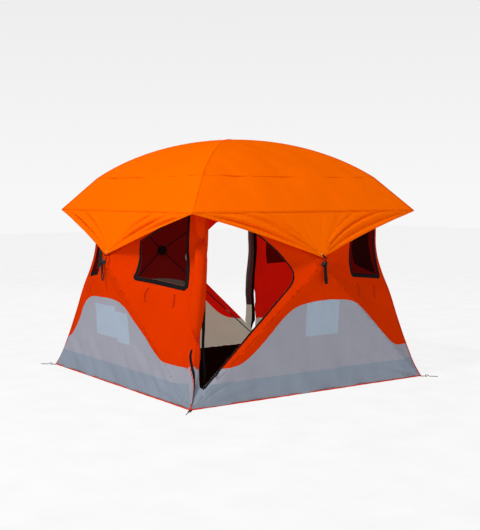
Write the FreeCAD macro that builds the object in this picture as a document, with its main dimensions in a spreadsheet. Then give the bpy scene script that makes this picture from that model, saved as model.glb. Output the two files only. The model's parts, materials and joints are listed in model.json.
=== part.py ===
"""Pop-up hub shelter: four fabric walls and a domed roof, each held out by a hub of four poles.

Frame: origin at the middle of the floor's underside, +Z up, millimetres.
The front wall faces -Y. The other walls are the front wall turned by quarter turns about Z,
except that only the front and back walls have a door.
"""

import math
import os

import FreeCAD
import Part
import Sketcher

V = FreeCAD.Vector
Z_AXIS = V(0, 0, 1)

# name, value in mm, meaning
DIMENSIONS = (
    ("floor_half", 1170, "half the side of the floor, at the wall seams"),
    ("floor_gap", 5, "floor sheet edge to wall seam"),
    ("cloth", 1.5, "thickness of every cloth panel"),
    ("seam_gap", 2, "half the opening that the corner seams leave between walls"),
    ("hem_height", 2, "height of the wall hems"),
    ("waist_half", 887, "half the width where the corner seams are pulled in most"),
    ("waist_height", 1130, "height of that place"),
    ("top_half", 866, "half the width along the top edge of the walls"),
    ("top_height", 1694, "height of the top edge of the walls"),
    ("hub_reach", 1259, "wall hub, out from the middle"),
    ("hub_height", 1020, "wall hub, up from the ground"),
    ("fly_peak", 2045, "highest point of the fly"),
    ("fly_half", 877, "half the width of the fly where the dome ends"),
    ("fly_drop", 335, "drop of the dome from its peak to that line"),
    ("fly_lift", 16, "fly above the roof cloth"),
    ("eave_half", 1117, "half the width along the eaves"),
    ("eave_height", 1431, "height of the eave line"),
    ("flap_reach", 1246, "point of each fly flap, out from the middle"),
    ("flap_height", 1082, "height of that point"),
    ("pole_radius", 5.5, "fibreglass pole"),
    ("end_thick", 8, "flattened pole ends"),
    ("eye_radius", 8, "eye at the hub end of a pole"),
    ("eye_hole", 2.56, "hole in that eye, a running fit on its pin"),
    ("tip_half", 11, "half the height of the slotted tip"),
    ("tip_slot", 6, "half the width of the slot in the tip"),
    ("tip_lip", 4, "material past the end of the slot"),
    ("rod_inset", 60, "end of the round rod to the tip pin"),
    ("rod_lap", 25, "flattened end over the round rod"),
    ("roof_bow", 88, "rise of a roof pole over its chord"),
    ("hub_radius", 48, "inner hub disc"),
    ("hub_thick", 24, "thickness of that disc"),
    ("hub_drop", 20, "cloth to the outer face of that disc"),
    ("stud_radius", 14, "stud that joins the disc to the outer cap"),
    ("stud_hole", 16, "hole in the cloth round the stud"),
    ("pin_reach", 32, "hub axis to the pole pins"),
    ("pin_radius", 2.5, "hub pin"),
    ("pin_length", 24, "hub pin"),
    ("slot_width", 8.7, "slot in the hub for a pole end"),
    ("slot_start", 19, "hub axis to the bottom of a slot"),
    ("cap_radius", 22, "outer cap"),
    ("cap_thick", 5, "outer cap"),
    ("bar_rise", 17, "cap face to the strap bar's axis"),
    ("bar_radius", 2.5, "strap bar"),
    ("lug_gap", 28, "between the lugs that hold the bar"),
    ("lug_thick", 5, "each lug"),
    ("lug_width", 10, "each lug"),
    ("strap_width", 25, "pull strap webbing"),
    ("strap_thick", 1.6, "pull strap webbing"),
    ("strap_bend", 4, "inner radius of the strap's loop"),
    ("strap_drop", 150, "bar to the lower bend of the strap"),
    ("corner_inset", 12, "pole tips below the plane of their four corners"),
    ("wall_tip_back", 90, "wall pole tip pin to the corner"),
    ("roof_tip_back", 106, "roof pole tip pin to the corner"),
    ("roof_tip_drop", 54, "roof pole tip pin below the roof cloth"),
    ("ear_gap", 9, "between the ears of a corner bracket"),
    ("ear_thick", 3, "ear of a corner bracket"),
    ("ear_half", 10, "half the height of an ear"),
    ("wall_ear_start", 28, "corner to the near end of an ear for a wall pole"),
    ("roof_ear_start", 40, "corner to the near end of an ear for a roof pole"),
    ("ear_past", 9, "tip pin to the far end of an ear"),
    ("tip_pin_radius", 3, "pin through the ears"),
    ("core_radius", 12, "block that joins the ears"),
    ("strut_radius", 4, "eave strut"),
    ("strut_hole", 5.5, "hole in the corner seam for the strut"),
    ("screen_gap", 0.3, "window screen to the cloth round it"),
    ("binding_width", 25, "binding tape round a window"),
    ("cover_lap", 12, "lap of a window cover on that tape"),
    ("binding_thick", 2, "binding and zip tape"),
    ("zip_width", 14, "zip tape round a door"),
    ("screen_roll_radius", 33, "rolled screen of a door"),
    ("roll_radius", 38, "rolled door flap"),
    ("roll_gap", 6, "rolled door flap to the wall"),
    ("tie_width", 22, "tie round a rolled door flap"),
    ("tie_thick", 1.6, "tie round a rolled door flap"),
    ("slider_long", 16, "zip slider"),
    ("slider_wide", 10, "zip slider"),
    ("slider_high", 6, "zip slider"),
    ("pull_long", 28, "zip slider's pull"),
    ("pull_wide", 7, "zip slider's pull"),
    ("pull_thick", 1.5, "zip slider's pull"),
    ("tab_width", 26, "anchor tab at each floor corner"),
    ("tab_thick", 1.9, "anchor tab"),
    ("tab_long", 60, "anchor tab"),
    ("eyelet_radius", 5.5, "hole in the anchor tab"),
    ("stake_radius", 3, "ground stake wire"),
    ("stake_long", 105, "ground stake, from its hook to its point"),
    ("fly_tab_width", 10, "tab that ties a fly flap to its hub"),
)

FRONT_TURNS = {"front": 0, "right": 90, "back": 180, "left": 270}
CORNER_SIGNS = {
    "front_left": (-1, -1),
    "front_right": (1, -1),
    "back_right": (1, 1),
    "back_left": (-1, 1),
}

doc = FreeCAD.newDocument("HubShelter")
sheet = doc.addObject("Spreadsheet::Sheet", "Sizes")
for row, (alias, value, meaning) in enumerate(DIMENSIONS, start=1):
    sheet.set(f"A{row}", meaning)
    sheet.set(f"B{row}", str(value))
    sheet.setAlias(f"B{row}", alias)
doc.recompute()

nodes = []


def size(alias):
    """A driving dimension from the sheet."""
    return float(sheet.get(alias))


def node(thing, label):
    """Name a document object as one sub-part."""
    thing.Label = label
    nodes.append(thing)
    return thing


def turned(shape, degrees):
    """A copy of a shape turned about the vertical axis."""
    copy = shape.copy()
    copy.rotate(V(0, 0, 0), Z_AXIS, degrees)
    return copy


def solid_node(label, solids):
    """One sub-part made of one or more separate solids."""
    feature = doc.addObject("Part::Feature", label)
    feature.Shape = solids[0] if len(solids) == 1 else Part.makeCompound(solids)
    feature.Placement = FreeCAD.Placement()
    return node(feature, label)


def primitive(kind, label, placement, **sizes):
    """A Part primitive whose sizes are expressions on the sheet."""
    thing = doc.addObject(f"Part::{kind}", label)
    for name, expression in sizes.items():
        thing.setExpression(name, expression)
    thing.Placement = placement
    return thing


def boolean(kind, label, base, others):
    """Fuse others with base, or cut them from it."""
    if kind == "fuse":
        thing = doc.addObject("Part::MultiFuse", label)
        thing.Refine = False
        thing.Shapes = [base, *others]
        return thing
    tool = others[0]
    if len(others) > 1:
        tool = boolean("fuse", f"{label}_tools", others[0], others[1:])
    thing = doc.addObject("Part::Cut", label)
    thing.Refine = False
    thing.Base = base
    thing.Tool = tool
    return thing


def placed(position=V(0, 0, 0), rotation=FreeCAD.Rotation()):
    return FreeCAD.Placement(position, rotation)


def axes_placement(position, x_dir, y_dir, z_dir):
    """A placement with the given axes."""
    return placed(position, FreeCAD.Rotation(x_dir, y_dir, z_dir, "ZXY"))


def origin_plane(body, role):
    """One of a body's own origin planes."""
    return next(f for f in body.Origin.OriginFeatures if f.Role == role)


def sketch_on(body, label, role, offset=placed()):
    sketch = body.newObject("Sketcher::SketchObject", label)
    sketch.AttachmentSupport = [(origin_plane(body, role), "")]
    sketch.MapMode = "FlatFace"
    sketch.AttachmentOffset = offset
    return sketch


def draw_circle(sketch, centre, expression, radius):
    """A circle whose radius follows the sheet."""
    circle = sketch.addGeometry(Part.Circle(centre, Z_AXIS, radius))
    rule = sketch.addConstraint(Sketcher.Constraint("Radius", circle, radius))
    sketch.setExpression(f"Constraints[{rule}]", expression)


def draw_outline(sketch, points):
    """A closed outline. A point given as ("arc", middle) makes the next stretch an arc."""
    corners = [p for p in points if not isinstance(p, tuple)]
    start = corners[0]
    through = None
    for point in [*points[1:], start]:
        if isinstance(point, tuple):
            through = point[1]
            continue
        if through is None:
            sketch.addGeometry(Part.LineSegment(start, point))
        else:
            sketch.addGeometry(Part.Arc(start, through, point))
        start, through = point, None


def pad(body, sketch, label, expression, symmetric=False):
    feature = body.newObject("PartDesign::Pad", label)
    feature.Profile = sketch
    feature.setExpression("Length", expression)
    if symmetric:
        feature.SideType = "Symmetric"
    return feature


# ---------------------------------------------------------------- points of the cloth shell

CLOTH = size("cloth")
HEM = V(size("floor_half"), -size("floor_half"), size("hem_height"))
WAIST = V(size("waist_half"), -size("waist_half"), size("waist_height"))
TOP = V(size("top_half"), -size("top_half"), size("top_height"))
HUB = V(0, -size("hub_reach"), size("hub_height"))
FAR = 2000  # longer than any part of the shelter is wide

# the walls lean in: each wall hub pushes along the normal of the plane of its four corners
LEAN = math.atan2(size("floor_half") - size("top_half"), size("top_height"))
HUB_NORMAL = V(0, -math.cos(LEAN), math.sin(LEAN))
HUB_UP = V(0, math.sin(LEAN), math.cos(LEAN))
DOME_RADIUS = (size("fly_half") ** 2 + size("fly_drop") ** 2) / (2 * size("fly_drop"))
DOME_CENTRE = size("fly_peak") - DOME_RADIUS
ROOF_RADIUS = DOME_RADIUS - size("fly_lift")
ROOF_HUB = V(0, 0, DOME_CENTRE + ROOF_RADIUS)


def mirrored(point):
    return V(-point.x, point.y, point.z)


def side_facets(side):
    """Lower and upper facet of a front wall's side panel; side is 1 for the right, -1 the left."""
    trio = (HEM, WAIST, TOP)
    hem, waist, top = trio if side > 0 else (mirrored(p) for p in trio)
    return (hem, waist, HUB), (waist, top, HUB)


def reach(u, z):
    """How far out the front wall's side panel stands at a place across and up."""
    lower, upper = side_facets(1 if u > 0 else -1)
    waist = lower[1]
    fold_height = HUB.z + (waist.z - HUB.z) * u / waist.x
    a, b, c = lower if z < fold_height else upper
    normal = (b - a).cross(c - a)
    return -(a.y - (normal.x * (u - a.x) + normal.z * (z - a.z)) / normal.y)


def on_wall(u, z, out=0.0):
    """A point on the front wall's side panel, moved outwards by out."""
    return V(u, -reach(u, z) - out, z)


def panel(points, outward=0.0, thickness=CLOTH):
    """A flat cloth panel whose outer face has the given corners."""
    moved = [p + V(0, -outward, 0) for p in points]
    face = Part.Face(Part.makePolygon([*moved, moved[0]]))
    return face.extrude(V(0, thickness, 0))


def through_wall(wire):
    """A wall-high prism through the front wall, from an outline in the XZ plane."""
    face = Part.Face(wire)
    face.translate(V(0, -FAR, 0))
    return face.extrude(V(0, FAR, 0))


def closed_wire(*edges):
    return Part.Wire(list(edges))


def straight(*points):
    return [Part.makeLine(a, b) for a, b in zip(points, points[1:])]


# window outlines: sloping sill, upper edge along the upper pole
DOOR_WALL_WINDOW = (V(440, 0, 925), V(850, 0, 882), V(838, 0, 1475), V(452, 0, 1205))
PLAIN_WALL_WINDOW = (V(345, 0, 922), V(795, 0, 868), V(745, 0, 1130), V(752, 0, 1430), V(345, 0, 1195))
COVERED_WALL = "right"  # the wall whose windows have their covers up
# door outline, on the left of its wall: hinge side along the corner seam, zip round the rest
DOOR_FOOT = V(-1075, 0, 125)
DOOR_NOSE_LOW = V(-325, 0, 822)
DOOR_NOSE = V(-229, 0, 934)
DOOR_NOSE_HIGH = V(-300, 0, 1070)
DOOR_HEAD = V(-775, 0, 1492)
DOOR_HEAD_BEND = V(-818, 0, 1500)
DOOR_HINGE_TOP = V(-832, 0, 1455)
DOOR_HINGE_WAIST = V(-845, 0, 1130)


def window_wire(with_door):
    corners = DOOR_WALL_WINDOW if with_door else PLAIN_WALL_WINDOW
    return closed_wire(*straight(*corners, corners[0]))


def mirrored_wire(wire):
    return wire.mirror(V(0, 0, 0), V(1, 0, 0))


def door_wire():
    """The D-shaped door."""
    return closed_wire(
        *straight(DOOR_FOOT, DOOR_NOSE_LOW),
        Part.Arc(DOOR_NOSE_LOW, DOOR_NOSE, DOOR_NOSE_HIGH).toShape(),
        *straight(DOOR_NOSE_HIGH, DOOR_HEAD),
        Part.Arc(DOOR_HEAD, DOOR_HEAD_BEND, DOOR_HINGE_TOP).toShape(),
        *straight(DOOR_HINGE_TOP, DOOR_HINGE_WAIST, DOOR_FOOT),
    )


def ring_through_wall(wire, inner, outer):
    """A frame-shaped prism along an outline, from inner to outer millimetres outside it."""
    outside = through_wall(wire.makeOffset2D(outer) if outer else wire)
    return outside.cut(through_wall(wire.makeOffset2D(inner) if inner else wire))


def mitred_roll(points, radius):
    """A round roll along gently bent runs, mitred at the bends."""
    rings = []
    for i, centre in enumerate(points):
        before, after = points[max(i - 1, 0)], points[min(i + 1, len(points) - 1)]
        rings.append(Part.Wire(Part.makeCircle(radius, centre, after - before)))
    return Part.makeLoft(rings, True, True)


# ---------------------------------------------------------------- walls


def strut_axis():
    """Ends of the front-right eave strut: inside the top corner, and under the fly's tip."""
    tip_inset = 14
    inner = TOP + V(-16, 16, -16)
    outer = V(size("eave_half") - tip_inset, tip_inset - size("eave_half"), size("eave_height") - 1)
    return inner, outer


def wall_cutters():
    """What every wall leaves open: the hub stud and the two eave struts."""
    stud = Part.makeCylinder(size("stud_hole"), 120, HUB - HUB_NORMAL * 60, HUB_NORMAL)
    inner, end = strut_axis()
    strut = Part.makeCylinder(size("strut_hole"), 120, inner, end - inner)
    return [stud, strut, strut.mirror(V(0, 0, 0), V(1, 0, 0))]


def seam_side(points, side):
    """Move a facet's seam corners in by the seam gap."""
    return [p if p is HUB else p - V(side * size("seam_gap"), 0, 0) for p in points]


def wall_solids(with_door):
    """Bottom panel, top panel and the facets of the two side panels, in the front position."""
    flat = [
        (HEM - V(size("seam_gap"), 0, 0), mirrored(HEM) + V(size("seam_gap"), 0, 0), HUB),
        (TOP - V(size("seam_gap"), 0, 0), mirrored(TOP) + V(size("seam_gap"), 0, 0), HUB),
    ]
    solids = [panel(list(corners)) for corners in flat]
    window = window_wire(with_door)
    right_hole = through_wall(window)
    left_hole = through_wall(door_wire() if with_door else mirrored_wire(window))
    for side, hole in ((1, right_hole), (-1, left_hole)):
        for facet in side_facets(side):
            solids.append(panel(seam_side(facet, side)).cut(hole))
    for cutter in wall_cutters():
        solids = [s.cut(cutter) for s in solids]
    return [s.Solids[0] for s in solids]


def side_layer(outward, thickness):
    """A layer that follows both side panels of the front wall, outside the cloth."""
    facets = [*side_facets(1), *side_facets(-1)]
    return [panel(seam_side(f, 1 if f[0].x > 0 else -1), outward, thickness) for f in facets]


def cut_layer(layer, prism):
    """The solids of a wall layer that lie inside a prism through the wall."""
    return [s for face in layer for s in face.common(prism).Solids]


def windows_of(with_door):
    """Outlines of the windows in a wall, in the front position."""
    right = window_wire(with_door)
    return [right] if with_door else [right, mirrored_wire(right)]


def window_cover(wire):
    """A cloth cover over a window of the front wall, outside its binding tape."""
    layer = side_layer(size("binding_thick") + CLOTH + 0.3, CLOTH)
    return cut_layer(layer, through_wall(wire.makeOffset2D(size("cover_lap"))))


def rolled_screen():
    """The front door's screen, rolled up inside along its hinge."""
    middle_line = ((-1000, 215), (-925, 550), (-853, 1120), (-842, 1400))
    depth = size("screen_roll_radius") + 14
    return mitred_roll([on_wall(u, z, -depth) for u, z in middle_line], size("screen_roll_radius"))


def build_walls():
    screens, bindings, zips = [], [], []
    thick = size("binding_thick")
    for name, turn in FRONT_TURNS.items():
        with_door = name in ("front", "back")
        cloth = wall_solids(with_door)
        if name == COVERED_WALL:
            cloth += [s for wire in windows_of(with_door) for s in window_cover(wire)]
        solid_node(f"wall_{name}", [turned(s, turn) for s in cloth])
        cloth_layer = side_layer(0, CLOTH)
        tape_layer = side_layer(thick, thick)
        for wire in windows_of(with_door):
            pane = through_wall(wire.makeOffset2D(-size("screen_gap")))
            screens += [turned(s, turn) for s in cut_layer(cloth_layer, pane)]
            ring = ring_through_wall(wire, 0, size("binding_width"))
            bindings += [turned(s, turn) for s in cut_layer(tape_layer, ring)]
        if with_door:
            ring = ring_through_wall(door_wire(), 0, size("zip_width"))
            clear = through_wall(hinge_strip())
            zips += [turned(s, turn) for s in cut_layer(tape_layer, ring.cut(clear))]
            screens.append(turned(rolled_screen(), turn))
    solid_node("mesh_screens", screens)
    solid_node("window_bindings", bindings)
    solid_node("door_zip_tapes", zips)


def hinge_strip():
    """Outline round the hinge side of the door, where the flap is sewn on and has no zip."""
    near, far = 25, 140
    inside = [p + V(near, 0, 0) for p in (DOOR_HINGE_TOP, DOOR_HINGE_WAIST, DOOR_FOOT)]
    outside = [p - V(far, 0, 0) for p in (DOOR_FOOT, DOOR_HINGE_WAIST, DOOR_HINGE_TOP)]
    below = [V(DOOR_FOOT.x + near, 0, 0), V(DOOR_FOOT.x - far, 0, 0)]
    above = [V(DOOR_HINGE_TOP.x - far, 0, 1700), V(DOOR_HINGE_TOP.x + near, 0, 1700)]
    ring = [*inside, *below, *outside, *above]
    return closed_wire(*straight(*ring, ring[0]))


# ---------------------------------------------------------------- roof, fly and floor


def dome_gore(radius, half):
    """The front quarter of a domed sheet: an arc carried across, mitred on the diagonals."""
    edge, middle, peak = (
        V(0, -y, DOME_CENTRE + math.sqrt(radius**2 - y**2)) for y in (half, half / 2, 0)
    )
    down = V(0, 0, -CLOTH)
    section = Part.Wire([
        Part.Arc(edge, middle, peak).toShape(),
        *straight(peak, peak + down),
        Part.Arc(peak + down, middle + down, edge + down).toShape(),
        *straight(edge + down, edge),
    ])
    sheet_solid = Part.Face(section).extrude(V(2 * half, 0, 0))
    sheet_solid.translate(V(-half, 0, 0))
    wedge = Part.Face(Part.makePolygon([
        V(0, 0, 0), V(-FAR, -FAR, 0), V(FAR, -FAR, 0), V(0, 0, 0),
    ])).extrude(V(0, 0, 2 * FAR))
    return sheet_solid.common(wedge).Solids[0]


def quarter_copies(shape):
    return [turned(shape, turn) for turn in FRONT_TURNS.values()]


def build_roof_canopy():
    half = size("top_half")
    hole = Part.makeCylinder(size("stud_hole"), 100, ROOF_HUB - Z_AXIS * 50, Z_AXIS)
    gore = dome_gore(ROOF_RADIUS, half).cut(hole).Solids[0]
    solid_node("roof_canopy", quarter_copies(gore))


def build_fly_cover():
    """Four dome gores, four sloping eaves and four hanging flaps, sewn into one cover."""
    half = size("fly_half")
    lip = V(0, -half, DOME_CENTRE + math.sqrt(DOME_RADIUS**2 - half**2))
    ridge = [lip + V(half, 0, 0), lip - V(half, 0, 0)]
    eave = V(0, -size("eave_half"), size("eave_height"))
    edge = [eave - V(size("eave_half"), 0, 0), eave + V(size("eave_half"), 0, 0)]
    strip = Part.Face(Part.makePolygon([*ridge, *edge, ridge[0]])).extrude(V(0, 0, -CLOTH))
    flap_top = [p + V(0, 0, -2 * CLOTH) for p in edge]
    inset = V(size("seam_gap"), 0, 0)
    flap = panel([
        flap_top[0] + inset,
        flap_top[1] - inset,
        V(0, -size("flap_reach"), size("flap_height")),
    ])
    pieces = (dome_gore(DOME_RADIUS, half), strip, flap)
    solid_node("fly_cover", [s for piece in pieces for s in quarter_copies(piece)])


def build_floor():
    half = size("floor_half") - size("floor_gap")
    corner = placed(V(-half, -half, 0))
    sheet_box = primitive(
        "Box", "floor_box", corner,
        Length="2 * (Sizes.floor_half - Sizes.floor_gap)",
        Width="2 * (Sizes.floor_half - Sizes.floor_gap)",
        Height="Sizes.cloth",
    )
    node(sheet_box, "floor_sheet")


# ---------------------------------------------------------------- hubs


def hub_placements():
    """Each hub's frame: Z along its push direction, Y up the wall, origin on the cloth."""
    front = axes_placement(HUB, V(1, 0, 0), HUB_UP, HUB_NORMAL)
    frames = {
        name: placed(rotation=FreeCAD.Rotation(Z_AXIS, turn)).multiply(front)
        for name, turn in FRONT_TURNS.items()
    }
    frames["roof"] = placed(ROOF_HUB)
    return frames


def wall_corner_targets():
    """The four cloth corners of the front wall, by the name of the pole that points there."""
    return {
        "bottom_left": mirrored(HEM),
        "bottom_right": HEM,
        "top_left": mirrored(TOP),
        "top_right": TOP,
    }


def roof_corner_targets():
    half = size("top_half")
    edge = DOME_CENTRE + math.sqrt(ROOF_RADIUS**2 - half**2)
    return {name: V(x * half, y * half, edge) for name, (x, y) in CORNER_SIGNS.items()}


def pin_depth():
    """Cloth to the plane of the hub pins, the middle of the inner disc."""
    return size("hub_drop") + size("hub_thick") / 2


def pole_line(frame, corner, tip_back, inset):
    """A pole's hub pin, its tip pin and its three axes, for a hub frame and a cloth corner."""
    normal = frame.Rotation.multVec(Z_AXIS)
    offset = corner - frame.Base
    depth = -offset.dot(normal)
    radial = offset + normal * depth
    full = radial.Length
    radial = radial * (1 / full)
    hub_pin = frame.Base + radial * size("pin_reach") - normal * pin_depth()
    tip_pin = frame.Base + radial * (full - tip_back) - normal * (depth + inset)
    along = (tip_pin - hub_pin).normalize()
    hinge = normal.cross(radial)
    return {
        "hub_pin": hub_pin,
        "tip_pin": tip_pin,
        "length": (tip_pin - hub_pin).Length,
        "rise": (hub_pin - tip_pin).dot(normal),
        "radial": radial,
        "normal": normal,
        "hinge": hinge,
        "along": along,
        "angle": math.atan2(
            radial.dot(frame.Rotation.multVec(V(0, 1, 0))),
            radial.dot(frame.Rotation.multVec(V(1, 0, 0))),
        ),
    }


def hub_poles():
    """Every pole's line, keyed by hub and corner."""
    lines = {}
    for name, frame in hub_placements().items():
        if name == "roof":
            corners, back = roof_corner_targets(), size("roof_tip_back")
            # the ridge climbs from its corner, so the tip is set from the cloth right over it
            over_tip = size("top_half") - back / math.sqrt(2)
            cloth_height = DOME_CENTRE + math.sqrt(ROOF_RADIUS**2 - over_tip**2)
            inset = corners["front_left"].z - cloth_height + size("roof_tip_drop")
        else:
            turn = FreeCAD.Rotation(Z_AXIS, FRONT_TURNS[name])
            corners = {k: turn.multVec(p) for k, p in wall_corner_targets().items()}
            back, inset = size("wall_tip_back"), size("corner_inset")
        for corner, point in corners.items():
            lines[name, corner] = pole_line(frame, point, back, inset)
    return lines


POLES = hub_poles()


def build_hub(name, frame):
    """Inner hub with four slots, its pins, and the outer cap."""
    lines = [line for (hub, _), line in POLES.items() if hub == name]
    drop, thick, slot = size("hub_drop"), size("hub_thick"), size("slot_width")
    top = primitive(
        "Cylinder", f"{name}_disc", frame.multiply(placed(V(0, 0, -drop - thick))),
        Radius="Sizes.hub_radius", Height="Sizes.hub_thick",
    )
    stud = primitive(
        "Cylinder", f"{name}_stud", frame.multiply(placed(V(0, 0, -drop - thick))),
        Radius="Sizes.stud_radius", Height="Sizes.hub_thick + Sizes.hub_drop + 1",
    )
    blank = boolean("fuse", f"{name}_blank", top, [stud])
    slots, pins = [], []
    for index, line in enumerate(lines):
        spin = placed(rotation=FreeCAD.Rotation(Z_AXIS, math.degrees(line["angle"])))
        corner = placed(V(size("slot_start"), -slot / 2, -drop - thick - 1))
        slots.append(primitive(
            "Box", f"{name}_slot_{index}", frame.multiply(spin).multiply(corner),
            Length="Sizes.hub_radius", Width="Sizes.slot_width", Height="Sizes.hub_thick + 2",
        ))
        across = FreeCAD.Rotation(V(1, 0, 0), -90)
        pin_start = placed(V(size("pin_reach"), -size("pin_length") / 2, -pin_depth()), across)
        pins.append(primitive(
            "Cylinder", f"{name}_pin_{index}", frame.multiply(spin).multiply(pin_start),
            Radius="Sizes.pin_radius", Height="Sizes.pin_length",
        ))
    node(boolean("cut", f"{name}_hub", blank, [*slots, *pins]), f"hub_{name}")
    group = doc.addObject("Part::Compound", f"{name}_pins")
    group.Links = [linked_copy(pin) for pin in pins]
    node(group, f"hub_pins_{name}")
    build_cap(name, frame)


def linked_copy(source):
    """The same primitive again, for the pin that fills a hole cut by its twin."""
    twin = doc.addObject(source.TypeId, f"{source.Name}_solid")
    for name, expression in source.ExpressionEngine:
        twin.setExpression(name, expression)
    twin.Placement = source.Placement
    return twin


def build_cap(name, frame):
    """Outer cap. On a wall hub it carries a bar between two lugs for the pull strap."""
    disc = primitive(
        "Cylinder", f"{name}_cap_disc", frame.multiply(placed(V(0, 0, 1))),
        Radius="Sizes.cap_radius", Height="Sizes.cap_thick",
    )
    if name == "roof":
        node(disc, "hub_cap_roof")
        return
    face = 1 + size("cap_thick")
    half_gap, width = size("lug_gap") / 2, size("lug_width")
    extras = []
    for side, start in (("left", -half_gap - size("lug_thick")), ("right", half_gap)):
        extras.append(primitive(
            "Box", f"{name}_lug_{side}", frame.multiply(placed(V(start, -width / 2, face - 1))),
            Length="Sizes.lug_thick", Width="Sizes.lug_width",
            Height="1 + Sizes.bar_rise + Sizes.lug_width / 2",
        ))
    along = FreeCAD.Rotation(V(0, 1, 0), 90)
    bar_start = V(-half_gap - 1, 0, face + size("bar_rise"))
    extras.append(primitive(
        "Cylinder", f"{name}_bar", frame.multiply(placed(bar_start, along)),
        Radius="Sizes.bar_radius", Height="Sizes.lug_gap + 2",
    ))
    node(boolean("fuse", f"{name}_cap", disc, extras), f"hub_cap_{name}")


def strap_bar():
    """Middle of the front hub's strap bar."""
    return HUB + HUB_NORMAL * (1 + size("cap_thick") + size("bar_rise"))


def build_strap(name, turn):
    """Pull strap: a long loop of webbing that hangs from the bar."""
    body = doc.addObject("PartDesign::Body", f"{name}_strap")
    outline = sketch_on(body, f"{name}_strap_outline", "YZ_Plane")
    inner, drop = size("strap_bend"), size("strap_drop")
    for radius in (inner, inner + size("strap_thick")):
        draw_outline(outline, [
            V(radius, 0, 0), ("arc", V(0, radius, 0)), V(-radius, 0, 0),
            V(-radius, -drop, 0), ("arc", V(0, -drop - radius, 0)), V(radius, -drop, 0),
        ])
    pad(body, outline, f"{name}_strap_pad", "Sizes.strap_width", symmetric=True)
    spin = placed(rotation=FreeCAD.Rotation(Z_AXIS, turn))
    body.Placement = spin.multiply(placed(strap_bar()))
    node(body, f"pull_strap_{name}")


# ---------------------------------------------------------------- poles


def build_pole(hub, corner, line):
    """A pole along its own X axis: eye at the hub, rod, slotted tip at the corner bracket."""
    name = f"pole_{hub}_{corner}"
    body = doc.addObject("PartDesign::Body", f"{name}_body")
    length, bow = line["length"], size("roof_bow") if hub == "roof" else 0.0
    lap, rod_end = size("rod_lap"), length - size("rod_inset")
    rod_start = size("rod_inset") if bow else 22
    neck, root = rod_start + lap, rod_end - lap

    def height(x):
        """Height of the bowed rod over its chord."""
        if not bow:
            return 0.0
        radius = ((length / 2) ** 2 + bow**2) / (2 * bow)
        return math.sqrt(radius**2 - (x - length / 2) ** 2) - (radius - bow)

    eye = sketch_on(body, f"{name}_eye", "XZ_Plane")
    eye_radius = size("eye_radius")
    draw_outline(eye, [
        V(0, eye_radius, 0), ("arc", V(-eye_radius, 0, 0)), V(0, -eye_radius, 0),
        V(neck, height(neck) - size("pole_radius"), 0),
        V(neck, height(neck) + size("pole_radius"), 0),
    ])
    draw_circle(eye, V(0, 0, 0), "Sizes.eye_hole", size("eye_hole"))
    pad(body, eye, f"{name}_eye_pad", "Sizes.end_thick", symmetric=True)

    tip = sketch_on(body, f"{name}_tip", "XZ_Plane")
    half, slot = size("tip_half"), size("tip_slot")
    end, back = length + slot + size("tip_lip"), length - tip_travel(line) - slot
    draw_outline(tip, [
        V(root, height(root) - size("pole_radius"), 0), V(back - 12, -half, 0), V(end, -half, 0),
        V(end, half, 0), V(back - 12, half, 0),
        V(root, height(root) + size("pole_radius"), 0),
    ])
    draw_outline(tip, [
        V(back, slot, 0), ("arc", V(back - slot, 0, 0)), V(back, -slot, 0),
        V(length, -slot, 0), ("arc", V(length + slot, 0, 0)), V(length, slot, 0),
    ])
    pad(body, tip, f"{name}_tip_pad", "Sizes.end_thick", symmetric=True)

    if bow:
        radius = ((length / 2) ** 2 + bow**2) / (2 * bow)
        centre = placed(V(0, bow - radius, length / 2))
        rod = sketch_on(body, f"{name}_rod", "YZ_Plane", centre)
        draw_circle(rod, V(0, radius, 0), "Sizes.pole_radius", size("pole_radius"))
        sweep = body.newObject("PartDesign::Revolution", f"{name}_bend")
        sweep.Profile = rod
        sweep.ReferenceAxis = (rod, ["H_Axis"])
        sweep.Midplane = True
        sweep.Angle = 2 * math.degrees(math.asin((length / 2 - rod_start) / radius))
    else:
        rod = sketch_on(body, f"{name}_rod", "YZ_Plane", placed(V(0, 0, rod_start)))
        draw_circle(rod, V(0, 0, 0), "Sizes.pole_radius", size("pole_radius"))
        pad(body, rod, f"{name}_rod_pad", f"{rod_end - rod_start:.3f} mm")
    body.Placement = axes_placement(
        line["hub_pin"], line["along"], line["hinge"], line["along"].cross(line["hinge"])
    )
    node(body, name)


def tip_travel(line):
    """How far a tip slides out over its pin as the hub passes through the corner plane."""
    return line["length"] - math.sqrt(line["length"] ** 2 - line["rise"] ** 2)


# ---------------------------------------------------------------- corner brackets and struts


def bracket_ears(line, label):
    """Two ears that straddle a pole's tip, in the plane that the pole swings in."""
    place = "roof" if "roof" in label else "wall"
    reach_back = size(f"{place}_tip_back") - size(f"{place}_ear_start")
    start = line["tip_pin"] + line["radial"] * reach_back
    frame = axes_placement(start, line["radial"] * -1, line["hinge"] * -1, line["normal"])
    ears = []
    for side, near in (("a", size("ear_gap") / 2), ("b", -size("ear_gap") / 2 - size("ear_thick"))):
        ears.append(primitive(
            "Box", f"{label}_ear_{side}", frame.multiply(placed(V(0, near, -size("ear_half")))),
            Length=f"Sizes.{place}_tip_back - Sizes.{place}_ear_start + Sizes.ear_past",
            Width="Sizes.ear_thick", Height="2 * Sizes.ear_half",
        ))
    return ears


def tip_pin(line, label):
    """The pin across a pair of ears."""
    half = size("ear_gap") / 2 + size("ear_thick") + 1
    start = line["tip_pin"] - line["hinge"] * half
    turn = FreeCAD.Rotation(Z_AXIS, line["hinge"])
    return primitive(
        "Cylinder", label, placed(start, turn),
        Radius="Sizes.tip_pin_radius",
        Height="Sizes.ear_gap + 2 * Sizes.ear_thick + 2",
    )


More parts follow.
